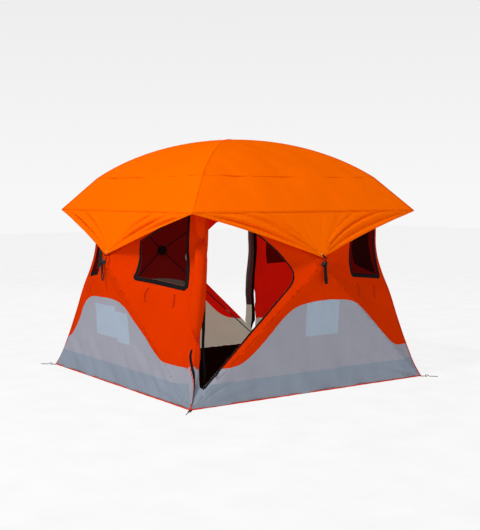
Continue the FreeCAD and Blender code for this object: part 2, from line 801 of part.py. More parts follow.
def build_brackets():
    """One bottom and one top bracket for the front-right corner, then a copy at each corner."""
    bottom_lines = [("front", "bottom_right"), ("right", "bottom_left")]
    top_lines = [("front", "top_right"), ("right", "top_left"), ("roof", "front_right")]
    inner, end = strut_axis()
    bottom_core = primitive(
        "Cylinder", "bottom_core", placed(V(HEM.x - 28, HEM.y + 28, 2 * size("cloth"))),
        Radius="Sizes.core_radius", Height="Sizes.core_radius + 10",
    )
    core_low, core_high = TOP + V(-17, 17, -33), TOP + V(-31, 31, 7)
    top_core = primitive(
        "Cylinder", "top_core", placed(core_low, FreeCAD.Rotation(Z_AXIS, core_high - core_low)),
        Radius="Sizes.core_radius", Height=f"{(core_high - core_low).Length:.3f} mm",
    )
    pins = []
    for label, core, keys in (("bottom", bottom_core, bottom_lines), ("top", top_core, top_lines)):
        ears, holes = [], []
        for hub, corner in keys:
            line = POLES[hub, corner]
            ears += bracket_ears(line, f"{label}_{hub}")
            pins.append(tip_pin(line, f"{label}_{hub}_pin"))
            holes.append(tip_pin(line, f"{label}_{hub}_hole"))
        whole = boolean("fuse", f"{label}_bracket_blank", core, ears)
        bracket = boolean("cut", f"{label}_bracket", whole, holes)
        doc.recompute()
        solid_node(f"{label}_corner_brackets", quarter_copies(bracket.Shape))
    solid_node("tip_pins", [s for pin in pins for s in quarter_copies(pin.Shape)])
    strut = primitive(
        "Cylinder", "strut", placed(inner, FreeCAD.Rotation(Z_AXIS, end - inner)),
        Radius="Sizes.strut_radius", Height=f"{(end - inner).Length:.3f} mm",
    )
    knob = primitive("Sphere", "strut_knob", placed(end), Radius="Sizes.strut_radius + 3")
    eave_strut = boolean("fuse", "eave_strut", strut, [knob])
    trimmed = boolean("cut", "eave_strut_trimmed", eave_strut, [top_core])
    doc.recompute()
    solid_node("eave_struts", quarter_copies(trimmed.Shape.Solids[0]))


# ---------------------------------------------------------------- doors


def seam_half(z):
    """Half the width between corner seams at a height."""
    low, high = (HEM, WAIST) if z < WAIST.z else (WAIST, TOP)
    return low.x + (high.x - low.x) * (z - low.z) / (high.z - low.z)


def roll_path():
    """Middle line of the front door's rolled flap, which hangs outside the corner seam."""
    out = (size("roll_radius") + size("roll_gap")) / math.sqrt(2) + 4
    path = []
    for z in (170, 620, 1110, 1440):
        away = seam_half(z) + out
        path.append(V(-away, -away, z))
    return path


def rod_chain(points, radius):
    """A round rod along straight runs, with a ball at each bend."""
    rods = [Part.makeCylinder(radius, (b - a).Length, a, b - a) for a, b in zip(points, points[1:])]
    balls = [Part.makeSphere(radius, p) for p in points[1:-1]]
    return rods[0].multiFuse([*rods[1:], *balls])


def build_doors():
    """The rolled flaps and the ties round them."""
    path = roll_path()
    radius = size("roll_radius")
    flap = mitred_roll(path, radius)
    solid_node("door_flaps", [turned(flap, turn) for turn in (0, 180)])
    ties = []
    for a, b, fraction in ((path[0], path[1], 0.72), (path[2], path[3], 0.4)):
        middle = a + (b - a) * fraction
        along = (b - a).normalize()
        start = middle - along * (size("tie_width") / 2)
        band = Part.makeCylinder(radius + 0.3 + size("tie_thick"), size("tie_width"), start, along)
        band = band.cut(Part.makeCylinder(radius + 0.3, size("tie_width"), start, along))
        ties += [turned(band, turn) for turn in (0, 180)]
    solid_node("door_ties", ties)


def zip_line():
    """Start and end of the straight lower zip, on the wall."""
    edge = DOOR_NOSE_LOW - DOOR_FOOT
    start, end = DOOR_FOOT + edge * 0.16, DOOR_FOOT + edge * 0.97
    return on_wall(start.x, start.z), on_wall(end.x, end.z)


def build_sliders():
    """Zip slider with its pull, riding on the tape along the lower edge of each door."""
    start, end = zip_line()
    along = (end - start).normalize()
    hem, waist, hub = side_facets(-1)[0]
    outward = (waist - hem).cross(hub - hem).normalize()
    outward = outward if outward.y < 0 else outward * -1
    across = outward.cross(along)
    lift = size("binding_thick") + 0.4
    middle = start - across * (size("zip_width") / 2) + outward * lift
    for name, turn in (("front", 0), ("back", 180)):
        spin = placed(rotation=FreeCAD.Rotation(Z_AXIS, turn))
        frame = spin.multiply(axes_placement(middle, along, across, outward))
        low = V(-size("slider_long") / 2, -size("slider_wide") / 2, 0)
        block = primitive(
            "Box", f"{name}_slider_block", frame.multiply(placed(low)),
            Length="Sizes.slider_long", Width="Sizes.slider_wide", Height="Sizes.slider_high",
        )
        hang = V(0, -size("pull_wide") / 2, size("slider_high") - size("pull_thick"))
        pull = primitive(
            "Box", f"{name}_slider_pull", frame.multiply(placed(hang)),
            Length="Sizes.pull_long", Width="Sizes.pull_wide", Height="Sizes.pull_thick",
        )
        node(boolean("fuse", f"{name}_slider", block, [pull]), f"zip_slider_{name}")


# ---------------------------------------------------------------- ground and fly fixings


def build_anchors():
    """Eyelet tab at each floor corner and the hooked stake that lies in it."""
    diagonal = V(1, -1, 0).normalize()
    seam = size("floor_half") * math.sqrt(2)
    tab_start = seam - 6
    eyelet = tab_start + size("tab_long") - 14
    frame = axes_placement(V(0, 0, 0), diagonal, Z_AXIS.cross(diagonal), Z_AXIS)
    strip = primitive(
        "Box", "tab_strip", frame.multiply(placed(V(tab_start, -size("tab_width") / 2, 0))),
        Length="Sizes.tab_long", Width="Sizes.tab_width", Height="Sizes.tab_thick",
    )
    hole = primitive(
        "Cylinder", "tab_hole", frame.multiply(placed(V(eyelet, 0, -1))),
        Radius="Sizes.eyelet_radius", Height="Sizes.tab_thick + 2",
    )
    tab = boolean("cut", "tab", strip, [hole])
    doc.recompute()
    solid_node("anchor_tabs", quarter_copies(tab.Shape))

    radius = size("stake_radius")
    lying = radius + 0.2
    crown = size("tab_thick") + 2 * radius + 2
    bends = ((0, radius), (0, crown), (6, crown + 5), (15, crown + 3), (34, lying))
    path = [V(eyelet + out, 0, up) for out, up in bends]
    stake = rod_chain([*path, V(eyelet + size("stake_long"), 0, lying)], radius)
    stake.Placement = frame.multiply(stake.Placement)
    solid_node("ground_stakes", quarter_copies(stake))


def build_fly_tabs():
    """Webbing tab from each flap's point down to the top of its hub cap."""
    top = V(0, -size("flap_reach") - CLOTH, size("flap_height") - 1)
    bottom = HUB + HUB_UP * (size("cap_radius") + 1) + HUB_NORMAL * 4
    half = V(size("fly_tab_width") / 2, 0, 0)
    strip = panel([top - half, top + half, bottom + half, bottom - half])
    solid_node("fly_tabs", quarter_copies(strip))


def problems():
    """Failed objects, and sub-parts with no valid solid."""
    failed = [o.Name for o in doc.Objects if {"Invalid", "Error"} & set(o.State)]
    for part in nodes:
        shape = part.Shape
        if shape.isNull() or not shape.isValid() or not shape.Solids:
            failed.append(part.Label)
    return failed


def build():
    build_floor()
    build_walls()
    build_roof_canopy()
    build_fly_cover()
    for name, frame in hub_placements().items():
        build_hub(name, frame)
    for name, turn in FRONT_TURNS.items():
        build_strap(name, turn)
    for (hub, corner), line in POLES.items():
        build_pole(hub, corner, line)
    build_brackets()
    build_doors()
    build_sliders()
    build_anchors()
    build_fly_tabs()
    doc.recompute()


def write_parts():
    os.makedirs("parts", exist_ok=True)
    for part in nodes:
        part.Shape.exportStep(os.path.join("parts", f"{part.Label}.step"))
        print(f"{part.Label:28s} solids {len(part.Shape.Solids):3d}  volume {part.Shape.Volume:12.0f}")


build()
bad = problems()
if bad:
    raise SystemExit(f"not written, failed: {bad}")
write_parts()
print(len(nodes), "sub-parts")
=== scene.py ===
"""Pop-up hub shelter: cloth, webbing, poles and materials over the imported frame. Metres."""

import json
import math

import bmesh
import bpy
import numpy as np
from mathutils import Matrix, Vector
from mathutils.geometry import delaunay_2d_cdt


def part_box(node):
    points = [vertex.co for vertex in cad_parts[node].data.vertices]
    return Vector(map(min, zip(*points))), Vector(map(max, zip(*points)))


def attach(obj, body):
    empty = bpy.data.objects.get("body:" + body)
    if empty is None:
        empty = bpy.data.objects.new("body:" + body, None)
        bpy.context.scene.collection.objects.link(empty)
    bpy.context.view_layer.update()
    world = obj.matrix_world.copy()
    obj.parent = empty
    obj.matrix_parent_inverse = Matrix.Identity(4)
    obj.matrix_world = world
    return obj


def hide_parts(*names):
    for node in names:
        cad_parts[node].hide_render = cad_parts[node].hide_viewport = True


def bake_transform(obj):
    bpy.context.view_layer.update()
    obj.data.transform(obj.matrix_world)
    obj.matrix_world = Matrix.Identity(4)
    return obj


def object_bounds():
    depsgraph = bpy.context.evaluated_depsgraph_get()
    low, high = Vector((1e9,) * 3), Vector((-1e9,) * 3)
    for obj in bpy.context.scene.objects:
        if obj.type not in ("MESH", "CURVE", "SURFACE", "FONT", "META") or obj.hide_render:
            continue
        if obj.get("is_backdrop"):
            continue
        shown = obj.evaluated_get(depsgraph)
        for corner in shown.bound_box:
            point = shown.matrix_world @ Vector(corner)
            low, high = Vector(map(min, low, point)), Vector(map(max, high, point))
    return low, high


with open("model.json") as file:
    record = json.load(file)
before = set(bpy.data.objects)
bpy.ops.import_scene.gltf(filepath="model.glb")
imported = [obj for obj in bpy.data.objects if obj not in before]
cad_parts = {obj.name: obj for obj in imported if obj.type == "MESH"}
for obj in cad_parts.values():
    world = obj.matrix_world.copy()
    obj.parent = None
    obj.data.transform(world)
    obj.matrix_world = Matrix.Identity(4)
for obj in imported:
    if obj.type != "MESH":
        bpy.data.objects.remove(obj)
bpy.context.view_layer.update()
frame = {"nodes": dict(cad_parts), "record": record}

# ---------------------------------------------------------------- main dimensions

HALF = 1.170
TOP_HALF = 0.866
TOP_Z = 1.694
HUB_OUT = 1.259
HUB_Z = 1.020
EAVE_HALF = 1.117
EAVE_Z = 1.431
FLY_HALF = 0.877
FLY_PEAK = 2.045
FLY_DROP = 0.335
FLAP_OUT = 1.246
FLAP_Z = 1.082
DOME_RADIUS = (FLY_HALF**2 + FLY_DROP**2) / (2 * FLY_DROP)
DOME_CENTRE = FLY_PEAK - DOME_RADIUS
CLOTH = 0.0012
TURNS = {"front": 0, "right": 1, "back": 2, "left": 3}
COVERED_WALL = "right"
HUB = Vector((0, -HUB_OUT, HUB_Z))
LEAN = math.atan2(HALF - TOP_HALF, TOP_Z)
HUB_NORMAL = Vector((0, -math.cos(LEAN), math.sin(LEAN)))
HUB_UP = Vector((0, math.sin(LEAN), math.cos(LEAN)))

# corner seam: height, half width
SEAM = (
    (-0.2, 1.235), (0.0, 1.170), (0.10, 1.130), (0.24, 1.089), (0.51, 1.022), (0.74, 0.970),
    (0.90, 0.925), (1.02, 0.899), (1.13, 0.887), (1.28, 0.886), (1.45, 0.880), (1.694, 0.866),
    (1.80, 0.860),
)
# upper edge of the grey cloth: across, height
HUMP_DOOR_WALL = (
    (-1.3, 0.281), (-1.0, 0.281), (-0.841, 0.283), (-0.743, 0.303), (-0.624, 0.372),
    (-0.495, 0.493), (-0.363, 0.618), (-0.277, 0.679), (-0.107, 0.725), (0.026, 0.737),
    (0.164, 0.734), (0.346, 0.705), (0.441, 0.650), (0.585, 0.525), (0.699, 0.418),
    (0.79, 0.345), (0.895, 0.300), (1.04, 0.285), (1.3, 0.283),
)
HUMP_PLAIN_WALL = (
    (-1.3, 0.283), (-1.06, 0.284), (-0.903, 0.293), (-0.773, 0.330), (-0.699, 0.380),
    (-0.56, 0.505), (-0.44, 0.640), (-0.36, 0.690), (-0.124, 0.720), (0.0, 0.722),
    (0.144, 0.706), (0.307, 0.650), (0.42, 0.575), (0.56, 0.480), (0.699, 0.372),
    (0.773, 0.328), (0.903, 0.293), (1.06, 0.284), (1.3, 0.283),
)
BAND_Z = 0.175
WINDOWS = {
    True: ((0.440, 0.925), (0.850, 0.882), (0.838, 1.475), (0.452, 1.205)),
    False: ((0.345, 0.922), (0.795, 0.868), (0.745, 1.130), (0.752, 1.430), (0.345, 1.195)),
}
DOOR = (
    (-1.075, 0.125), (-0.325, 0.822), (-0.262, 0.885), (-0.233, 0.945), (-0.250, 1.010),
    (-0.330, 1.110), (-0.520, 1.290), (-0.700, 1.440), (-0.785, 1.497), (-0.832, 1.455),
    (-0.845, 1.130), (-0.955, 0.690), (-1.045, 0.290),
)


def curve_table(points, count=1200):
    """Dense samples of a smooth curve through points that rise in x."""
    xs, ys = np.array(points).T
    slopes = np.gradient(ys, xs)
    dense = np.linspace(xs[0], xs[-1], count)
    i = np.clip(np.searchsorted(xs, dense, side="right") - 1, 0, len(xs) - 2)
    width = xs[i + 1] - xs[i]
    t = (dense - xs[i]) / width
    rise = (
        ys[i] * (2 * t**3 - 3 * t**2 + 1) + ys[i + 1] * (3 * t**2 - 2 * t**3)
        + width * (slopes[i] * (t**3 - 2 * t**2 + t) + slopes[i + 1] * (t**3 - t**2))
    )
    return dense, rise


SEAM_TABLE = curve_table(SEAM)
HUMPS = {True: curve_table(HUMP_DOOR_WALL), False: curve_table(HUMP_PLAIN_WALL)}


def seam(z):
    return np.interp(z, *SEAM_TABLE)


def unit(rows):
    """Rows of vectors scaled to length one."""
    return rows / np.linalg.norm(rows, axis=1, keepdims=True)


def spin(points, turn):
    """Points of the front wall carried to another wall, a quarter turn at a time."""
    points = np.asarray(points, float).copy()
    for _ in range(turn):
        points[..., 0], points[..., 1] = -points[..., 1].copy(), points[..., 0].copy()
    return points


# ---------------------------------------------------------------- folds and wrinkles


def ripple(u, z, seed, length, height, waves=7):
    """Soft random undulation of a cloth, the same on every run."""
    rng = np.random.default_rng(seed)
    total = np.zeros_like(u)
    for _ in range(waves):
        angle, phase = rng.uniform(0, 2 * math.pi, 2)
        k = 2 * math.pi / (length * rng.uniform(0.6, 1.6))
        total += np.sin(k * (u * math.cos(angle) + z * math.sin(angle)) + phase)
    return total * height / math.sqrt(waves)


def crease(phase):
    """Folds with round tops and sharp valleys."""
    return 2 * np.abs(np.sin(phase / 2)) ** 0.8 - 1.2


def fan(u, z, at, folds, height, fade, seed, start=0.03):
    """Tension folds that radiate from a point where the cloth is pulled."""
    rng = np.random.default_rng(seed)
    du, dz = u - at[0], z - at[1]
    r = np.hypot(du, dz)
    angle = np.arctan2(dz, du)
    phase = rng.uniform(0, 2 * math.pi, 4)
    wave = crease(folds * angle + phase[0] + 0.9 * np.sin(3.1 * angle + phase[1]))
    wave += 0.6 * crease(folds * 1.73 * angle + phase[2] + 6 * r)
    strength = 0.55 + 0.45 * np.sin(folds * 0.31 * angle + phase[3])
    return height * wave * strength * np.minimum(r / start, 1) * np.exp(-r / fade)


def taut(u, z, start, end, folds, height, width, seed):
    """Long folds between two points that pull the cloth, on the left of the line from one to the other."""
    rng = np.random.default_rng(seed)
    du, dz = end[0] - start[0], end[1] - start[1]
    length = math.hypot(du, dz)
    along = ((u - start[0]) * du + (z - start[1]) * dz) / length**2
    off = ((z - start[1]) * du - (u - start[0]) * dz) / length
    t = np.clip(along, 0.001, 0.999)
    spread = width * np.sin(math.pi * t) ** 0.75 + 0.004
    at = off / spread
    phase = rng.uniform(0, 2 * math.pi, 3)
    wave = crease(2 * math.pi * folds * at + phase[0] + 0.8 * np.sin(5 * t + phase[1]))
    wave += 0.5 * crease(2 * math.pi * folds * 1.7 * at + phase[2])
    fade = smooth(at, -0.05, 0.12) * (1 - smooth(at, 0.55, 1.25)) * np.sin(math.pi * t) ** 0.5
    return height * wave * fade


def smooth(x, low, high):
    t = np.clip((x - low) / (high - low), 0, 1)
    return t * t * (3 - 2 * t)


# ---------------------------------------------------------------- wall surface


def side_ray(a, z):
    """Height on the seam, and fraction of the way there, of the ray from the hub through a place."""
    low, high = np.full_like(a, -0.1), np.full_like(a, TOP_Z + 0.06)
    for _ in range(26):
        middle = (low + high) / 2
        above = HUB_Z + a / seam(middle) * (middle - HUB_Z) > z
        high, low = np.where(above, middle, high), np.where(above, low, middle)
    return (low + high) / 2, a / seam((low + high) / 2)


def wall_out(u, z, seed=0):
    """How far out a wall stands, wrinkles included, at places across and up."""
    u, z = np.asarray(u, float), np.asarray(z, float)
    a = np.abs(u)
    t = z / HUB_Z
    lower = HALF + (HUB_OUT - HALF) * t
    s = (TOP_Z - z) / (TOP_Z - HUB_Z)
    upper = TOP_HALF + (HUB_OUT - TOP_HALF) * s
    seam_z, k = side_ray(a, z)
    side = HUB_OUT + k * (seam(seam_z) - HUB_OUT)
    is_low = a < HALF * (1 - t)
    is_high = a < TOP_HALF * (1 - s)
    out = np.where(is_low, lower, np.where(is_high, upper, side))
    # taut cloth between two poles is drawn in a little
    spread = np.clip(a / np.maximum(HALF * (1 - t), 1e-4), 0, 1)
    low_sag = 0.013 * (1 - spread**2) * np.clip(4 * t * (1 - t), 0, 1)
    round_z = np.clip(seam_z / TOP_Z, 0, 1)
    side_sag = 0.018 * np.sin(math.pi * round_z) * np.clip(4 * k * (1 - k), 0, 1)
    out -= np.where(is_low, low_sag, np.where(is_high, 0, side_sag))
    # wrinkles die out towards the seams and the hub
    edge = np.minimum(np.abs(seam(z) - a), 0.05) / 0.05
    near_hub = np.minimum(np.hypot(u, z - HUB_Z) / 0.10, 1)
    pole_low = np.abs(HALF * (1 - t) - a) * HUB_Z / math.hypot(HUB_Z, HALF)
    pole_high = np.abs(TOP_HALF * (1 - s) - a) * (TOP_Z - HUB_Z) / math.hypot(TOP_Z - HUB_Z, TOP_HALF)
    near_hub *= 0.12 + 0.88 * smooth(np.where(z < HUB_Z, pole_low, pole_high), 0, 0.07)
    wrinkle = fan(u, z, (-HALF, 0), 18, 0.0150, 0.40, seed + 1, 0.15)
    wrinkle += fan(u, z, (HALF, 0), 18, 0.0150, 0.40, seed + 2, 0.15)
    wrinkle += fan(u, z, (0, HUB_Z), 13, 0.0045, 0.34, seed + 3, 0.15)
    wrinkle += fan(u, z, (-0.88, TOP_Z), 16, 0.0065, 0.34, seed + 4, 0.15)
    wrinkle += fan(u, z, (0.88, TOP_Z), 16, 0.0065, 0.34, seed + 5, 0.15)
    skirt = 1 - smooth(z, 0.12, 0.42)
    wrinkle += ripple(u * 0.9 + z * 0.5, z * 0.45, seed + 6, 0.19, 0.0075) * skirt
    wrinkle += ripple(u, z * 0.4, seed + 7, 0.36, 0.0042)
    wrinkle += ripple(u, z * 0.3, seed + 8, 0.085, 0.0010)
    hem = np.minimum(z / 0.03, 1)
    return out + wrinkle * edge * near_hub * (0.35 + 0.65 * hem)


def wall_place(seed, proud=0.0):
    def place(u, z):
        return np.stack([u, -wall_out(u, z, seed) - proud, z], axis=1)

    return place


# ---------------------------------------------------------------- mesh building


def walk(points, step, closed=False):
    """Points along a run of straight lines, no further apart than step."""
    points = [np.asarray(p, float) for p in points]
    ends = points + points[:1] if closed else points
    found = []
    for a, b in zip(ends, ends[1:]):
        count = max(1, math.ceil(np.linalg.norm(b - a) / step))
        found += [a + (b - a) * i / count for i in range(count)]
    return np.array(found if closed else found + [ends[-1]])


def rounded(points, radius, steps=5):
    """A closed outline with its corners rounded."""
    points = [np.asarray(p, float) for p in points]
    found = []
    for i, p in enumerate(points):
        before, after = points[i - 1] - p, points[(i + 1) % len(points)] - p
        for_before = min(radius, 0.45 * np.linalg.norm(before))
        for_after = min(radius, 0.45 * np.linalg.norm(after))
        a = p + before / np.linalg.norm(before) * for_before
        b = p + after / np.linalg.norm(after) * for_after
        for j in range(steps + 1):
            t = j / steps
            found.append(a * (1 - t) ** 2 + 2 * p * t * (1 - t) + b * t**2)
    return np.array(found)


def circle(x, y, radius, count):
    """Points round a small hole."""
    angles = np.arange(count) * math.pi / (count / 2)
    return [(x + radius * math.cos(a), y + radius * math.sin(a)) for a in angles]


def grown(loop, amount):
    """A counter-clockwise outline moved outwards by an amount, or by one per point, corners mitred."""
    into, out = loop - np.roll(loop, 1, axis=0), np.roll(loop, -1, axis=0) - loop
    both = unit(into) + unit(out)
    normal = 2 * np.stack([both[:, 1], -both[:, 0]], axis=1) / (both**2).sum(axis=1, keepdims=True)
    return loop + normal * np.reshape(amount, (-1, 1))


def inside(points, loop):
    x, y = points[:, 0], points[:, 1]
    odd = np.zeros(len(points), bool)
    for (x0, y0), (x1, y1) in zip(loop, np.roll(loop, -1, axis=0)):
        if y0 != y1:
            odd ^= ((y0 > y) != (y1 > y)) & (x < (x1 - x0) * (y - y0) / (y1 - y0) + x0)
    return odd


def flat_mesh(outline, holes=(), lines=(), spacing=0.02):
    """Triangles that fill an outline, with edges along its holes and inner lines."""
    loops = [walk(outline, spacing, True)] + [walk(h, spacing, True) for h in holes]
    runs = [walk(line, spacing) for line in lines]
    border = np.vstack(loops + runs)
    low, high = loops[0].min(axis=0), loops[0].max(axis=0)
    rows = np.arange(low[1], high[1], spacing * 0.866)
    grid = np.array([
        (x + (spacing / 2 if j % 2 else 0), y)
        for j, y in enumerate(rows) for x in np.arange(low[0], high[0], spacing)
    ]).reshape(-1, 2)
    if len(grid):
        grid = grid[inside(grid, loops[0])]
    if len(grid):
        near = np.array([np.min(np.sum((border - p) ** 2, axis=1)) for p in grid])
        grid = grid[near > (spacing * 0.45) ** 2]
    edges, start = [], 0
    for loop in loops:
        count = len(loop)
        edges += [(start + i, start + (i + 1) % count) for i in range(count)]
        start += count
    for run in runs:
        edges += [(start + i, start + i + 1) for i in range(len(run) - 1)]
        start += len(run)
    points = [Vector(p) for p in np.vstack([border, grid])]
    verts, _, faces, *_ = delaunay_2d_cdt(points, edges, [], 0, 1e-5, True)
    verts = np.array([tuple(v) for v in verts])
    faces = [list(f) for f in faces]
    middles = np.array([verts[f].mean(axis=0) for f in faces])
    keep = inside(middles, loops[0])
    for hole in loops[1:len(holes) + 1]:
        keep &= ~inside(middles, hole)
    faces = [f for f, k in zip(faces, keep) if k]
    for f in faces:
        a, b, c = verts[f[0]], verts[f[1]], verts[f[2]]
        if (b[0] - a[0]) * (c[1] - a[1]) - (b[1] - a[1]) * (c[0] - a[0]) < 0:
            f.reverse()
    used = sorted({i for f in faces for i in f})
    new = {old: i for i, old in enumerate(used)}
    return verts[used], [[new[i] for i in f] for f in faces]


def make_object(name, verts, faces, materials, slots=None, uvs=None, flat=False):
    mesh = bpy.data.meshes.new(name)
    mesh.from_pydata([tuple(v) for v in verts], [], [tuple(f) for f in faces])
    for m in materials:
        mesh.materials.append(m)
    if slots is not None:
        mesh.polygons.foreach_set("material_index", np.asarray(slots, "i"))
    if uvs is not None:
        layer = mesh.uv_layers.new(name="cloth")
        loops = np.empty(len(mesh.loops), "i")
        mesh.loops.foreach_get("vertex_index", loops)
        layer.data.foreach_set("uv", np.asarray(uvs, "f")[loops].ravel())
    if not flat:
        mesh.polygons.foreach_set("use_smooth", np.ones(len(mesh.polygons), bool))
    mesh.update()
    obj = bpy.data.objects.new(name, mesh)
    bpy.context.scene.collection.objects.link(obj)
    return obj


def vertex_normals(verts, faces):
    normals = np.zeros_like(verts)
    for f in faces:
        n = np.cross(verts[f[1]] - verts[f[0]], verts[f[2]] - verts[f[0]])
        if len(f) == 4:
            n = np.cross(verts[f[2]] - verts[f[0]], verts[f[3]] - verts[f[1]])
        for i in f:
            normals[i] += n
    return normals / np.maximum(np.linalg.norm(normals, axis=1, keepdims=True), 1e-12)


def thicken(verts, faces, slots, thick, inner):
    """Give a sheet an inner face and a rim. inner is added to a face's slot on the inside."""
    count = len(verts)
    below = verts - vertex_normals(verts, faces) * thick
    back = [[i + count for i in reversed(f)] for f in faces]
    edges = {}
    for n, f in enumerate(faces):
        for a, b in zip(f, f[1:] + f[:1]):
            edges[a, b] = n
    rim, rim_slots = [], []
    for (a, b), n in edges.items():
        if (b, a) not in edges:
            rim.append([b, a, a + count, b + count])
            rim_slots.append(slots[n])
    all_slots = list(slots) + [s + inner for s in slots] + rim_slots
    return np.vstack([verts, below]), faces + back + rim, all_slots


def cloth_piece(name, verts, faces, uvs, materials, slots=None, inner=0, thick=CLOTH):
    """One cut sheet of cloth as an object with two sides."""
    slots = slots if slots is not None else [0] * len(faces)
    solid, all_faces, all_slots = thicken(verts, faces, slots, thick, inner)
    obj = make_object(name, solid, all_faces, materials, all_slots, np.vstack([uvs, uvs]))
    return obj


# cross-section of a ribbon: places across its width, and its thickness there
RIBBON_COLUMNS = np.array([-0.5, -0.46, -0.2, 0, 0.2, 0.46, 0.5])
RIBBON_CROWN = np.array([0.35, 0.9, 1, 1, 1, 0.9, 0.35])


def ribbon(name, path, across, width, thick, material, turn=0):
    """A flat strip along a path; across gives the direction of its width at each point."""
    across = unit(np.asarray(across, float))
    ahead = np.gradient(path, axis=0)
    up = np.cross(ahead, across)
    up /= np.maximum(np.linalg.norm(up, axis=1, keepdims=True), 1e-9)
    columns, crown = RIBBON_COLUMNS, RIBBON_CROWN
    top = [path + across * width * c + up * thick / 2 * k for c, k in zip(columns, crown)]
    low = [path + across * width * c - up * thick / 2 * k for c, k in zip(columns[::-1], crown)]
    ring = np.stack(top + low, axis=1)
    return tube_object(name, spin(ring, turn), material)


def tube_object(name, rings, material, slots=None, uv_scale=1.0):
    """Closed rings of points joined into a tube with capped ends."""
    rows, cols = rings.shape[:2]
    verts = rings.reshape(-1, 3)
    faces = []
    for i in range(rows - 1):
        for j in range(cols):
            k = (j + 1) % cols
            faces.append([i * cols + j, i * cols + k, (i + 1) * cols + k, (i + 1) * cols + j])
    faces.append(list(range(cols))[::-1])
    faces.append([(rows - 1) * cols + j for j in range(cols)])
    middle = rings.mean(axis=1)
    steps = np.linalg.norm(np.diff(middle, axis=0), axis=1)
    along = np.concatenate([[0], np.cumsum(steps)])
    girth = np.linalg.norm(rings - np.roll(rings, 1, axis=1), axis=2).sum(axis=1).mean()
    u = np.tile(np.arange(cols) / cols * girth, (rows, 1))
    v = np.tile(along[:, None], (1, cols))
    uvs = np.stack([u.ravel(), v.ravel()], axis=1) * uv_scale
    materials = material if isinstance(material, list) else [material]
    index = None if slots is None else list(slots) + [slots[0], slots[-1]]
    obj = make_object(name, verts, faces, materials, index, uvs)
    fix_normals(obj)
    return obj


def fix_normals(obj):
    bm = bmesh.new()
    bm.from_mesh(obj.data)
    bmesh.ops.recalc_face_normals(bm, faces=bm.faces)
    bm.to_mesh(obj.data)
    bm.free()


def round_rings(path, radii, sides=12, up=(0.3, 0.2, 1.0)):
    """Circles of given radii round a path."""
    path = np.asarray(path, float)
    ahead = unit(np.gradient(path, axis=0))
    side = unit(np.cross(ahead, up))
    top = np.cross(side, ahead)
    angle = np.arange(sides) / sides * 2 * math.pi
    radii = np.broadcast_to(radii, len(path))
    return (
        path[:, None] + side[:, None] * (np.cos(angle) * radii[:, None])[..., None]
        + top[:, None] * (np.sin(angle) * radii[:, None])[..., None]
    )


# ---------------------------------------------------------------- materials


def node_material(name):
    mat = bpy.data.materials.new(name)
    mat.use_nodes = True
    return mat, mat.node_tree, mat.node_tree.nodes["Principled BSDF"]


def set_inputs(node, **values):
    """Set a node's inputs, with _ in place of a space in each name."""
    for name, value in values.items():
        node.inputs[name.replace("_", " ")].default_value = value


def link_noise(tree, vector, scale, detail=3.0, rough=0.55):
    noise = tree.nodes.new("ShaderNodeTexNoise")
    set_inputs(noise, Scale=scale, Detail=detail, Roughness=rough)
    tree.links.new(vector, noise.inputs["Vector"])
    return noise.outputs["Fac"]


def link_ramp(tree, value, stops):
    ramp = tree.nodes.new("ShaderNodeValToRGB")
    while len(ramp.color_ramp.elements) < len(stops):
        ramp.color_ramp.elements.new(0.5)
    for element, (at, colour) in zip(ramp.color_ramp.elements, stops):
        element.position = at
        element.color = (*colour, 1)
    tree.links.new(value, ramp.inputs["Fac"])
    return ramp.outputs["Color"]


def link_greys(tree, value, low, dark, high, light):
    """A ramp from one grey to another, which also drives roughness."""
    return link_ramp(tree, value, ((low, (dark,) * 3), (high, (light,) * 3)))


def space(tree, kind):
    """Texture coordinates: the cloth's own UVs, or the object's."""
    return tree.nodes.new("ShaderNodeTexCoord").outputs[kind]


def link_wave(tree, vector, pitch, axis):
    wave = tree.nodes.new("ShaderNodeTexWave")
    wave.bands_direction = axis
    set_inputs(wave, Scale=1 / pitch / 6.283, Distortion=0.25, Detail=1.0)
    tree.links.new(vector, wave.inputs["Vector"])
    return wave.outputs["Fac"]


def link_math(tree, operation, a, b):
    node = tree.nodes.new("ShaderNodeMath")
    node.operation = operation
    for socket, value in zip(node.inputs, (a, b)):
        if isinstance(value, (int, float)):
            socket.default_value = value
        else:
            tree.links.new(value, socket)
    return node.outputs[0]


def link_bump(tree, height, strength, distance, before=None):
    bump = tree.nodes.new("ShaderNodeBump")
    set_inputs(bump, Strength=strength, Distance=distance)
    tree.links.new(height, bump.inputs["Height"])
    if before is not None:
        tree.links.new(before, bump.inputs["Normal"])
    return bump.outputs["Normal"]


def scaled(colour, factor):
    return tuple(min(1.0, c * factor) for c in colour)


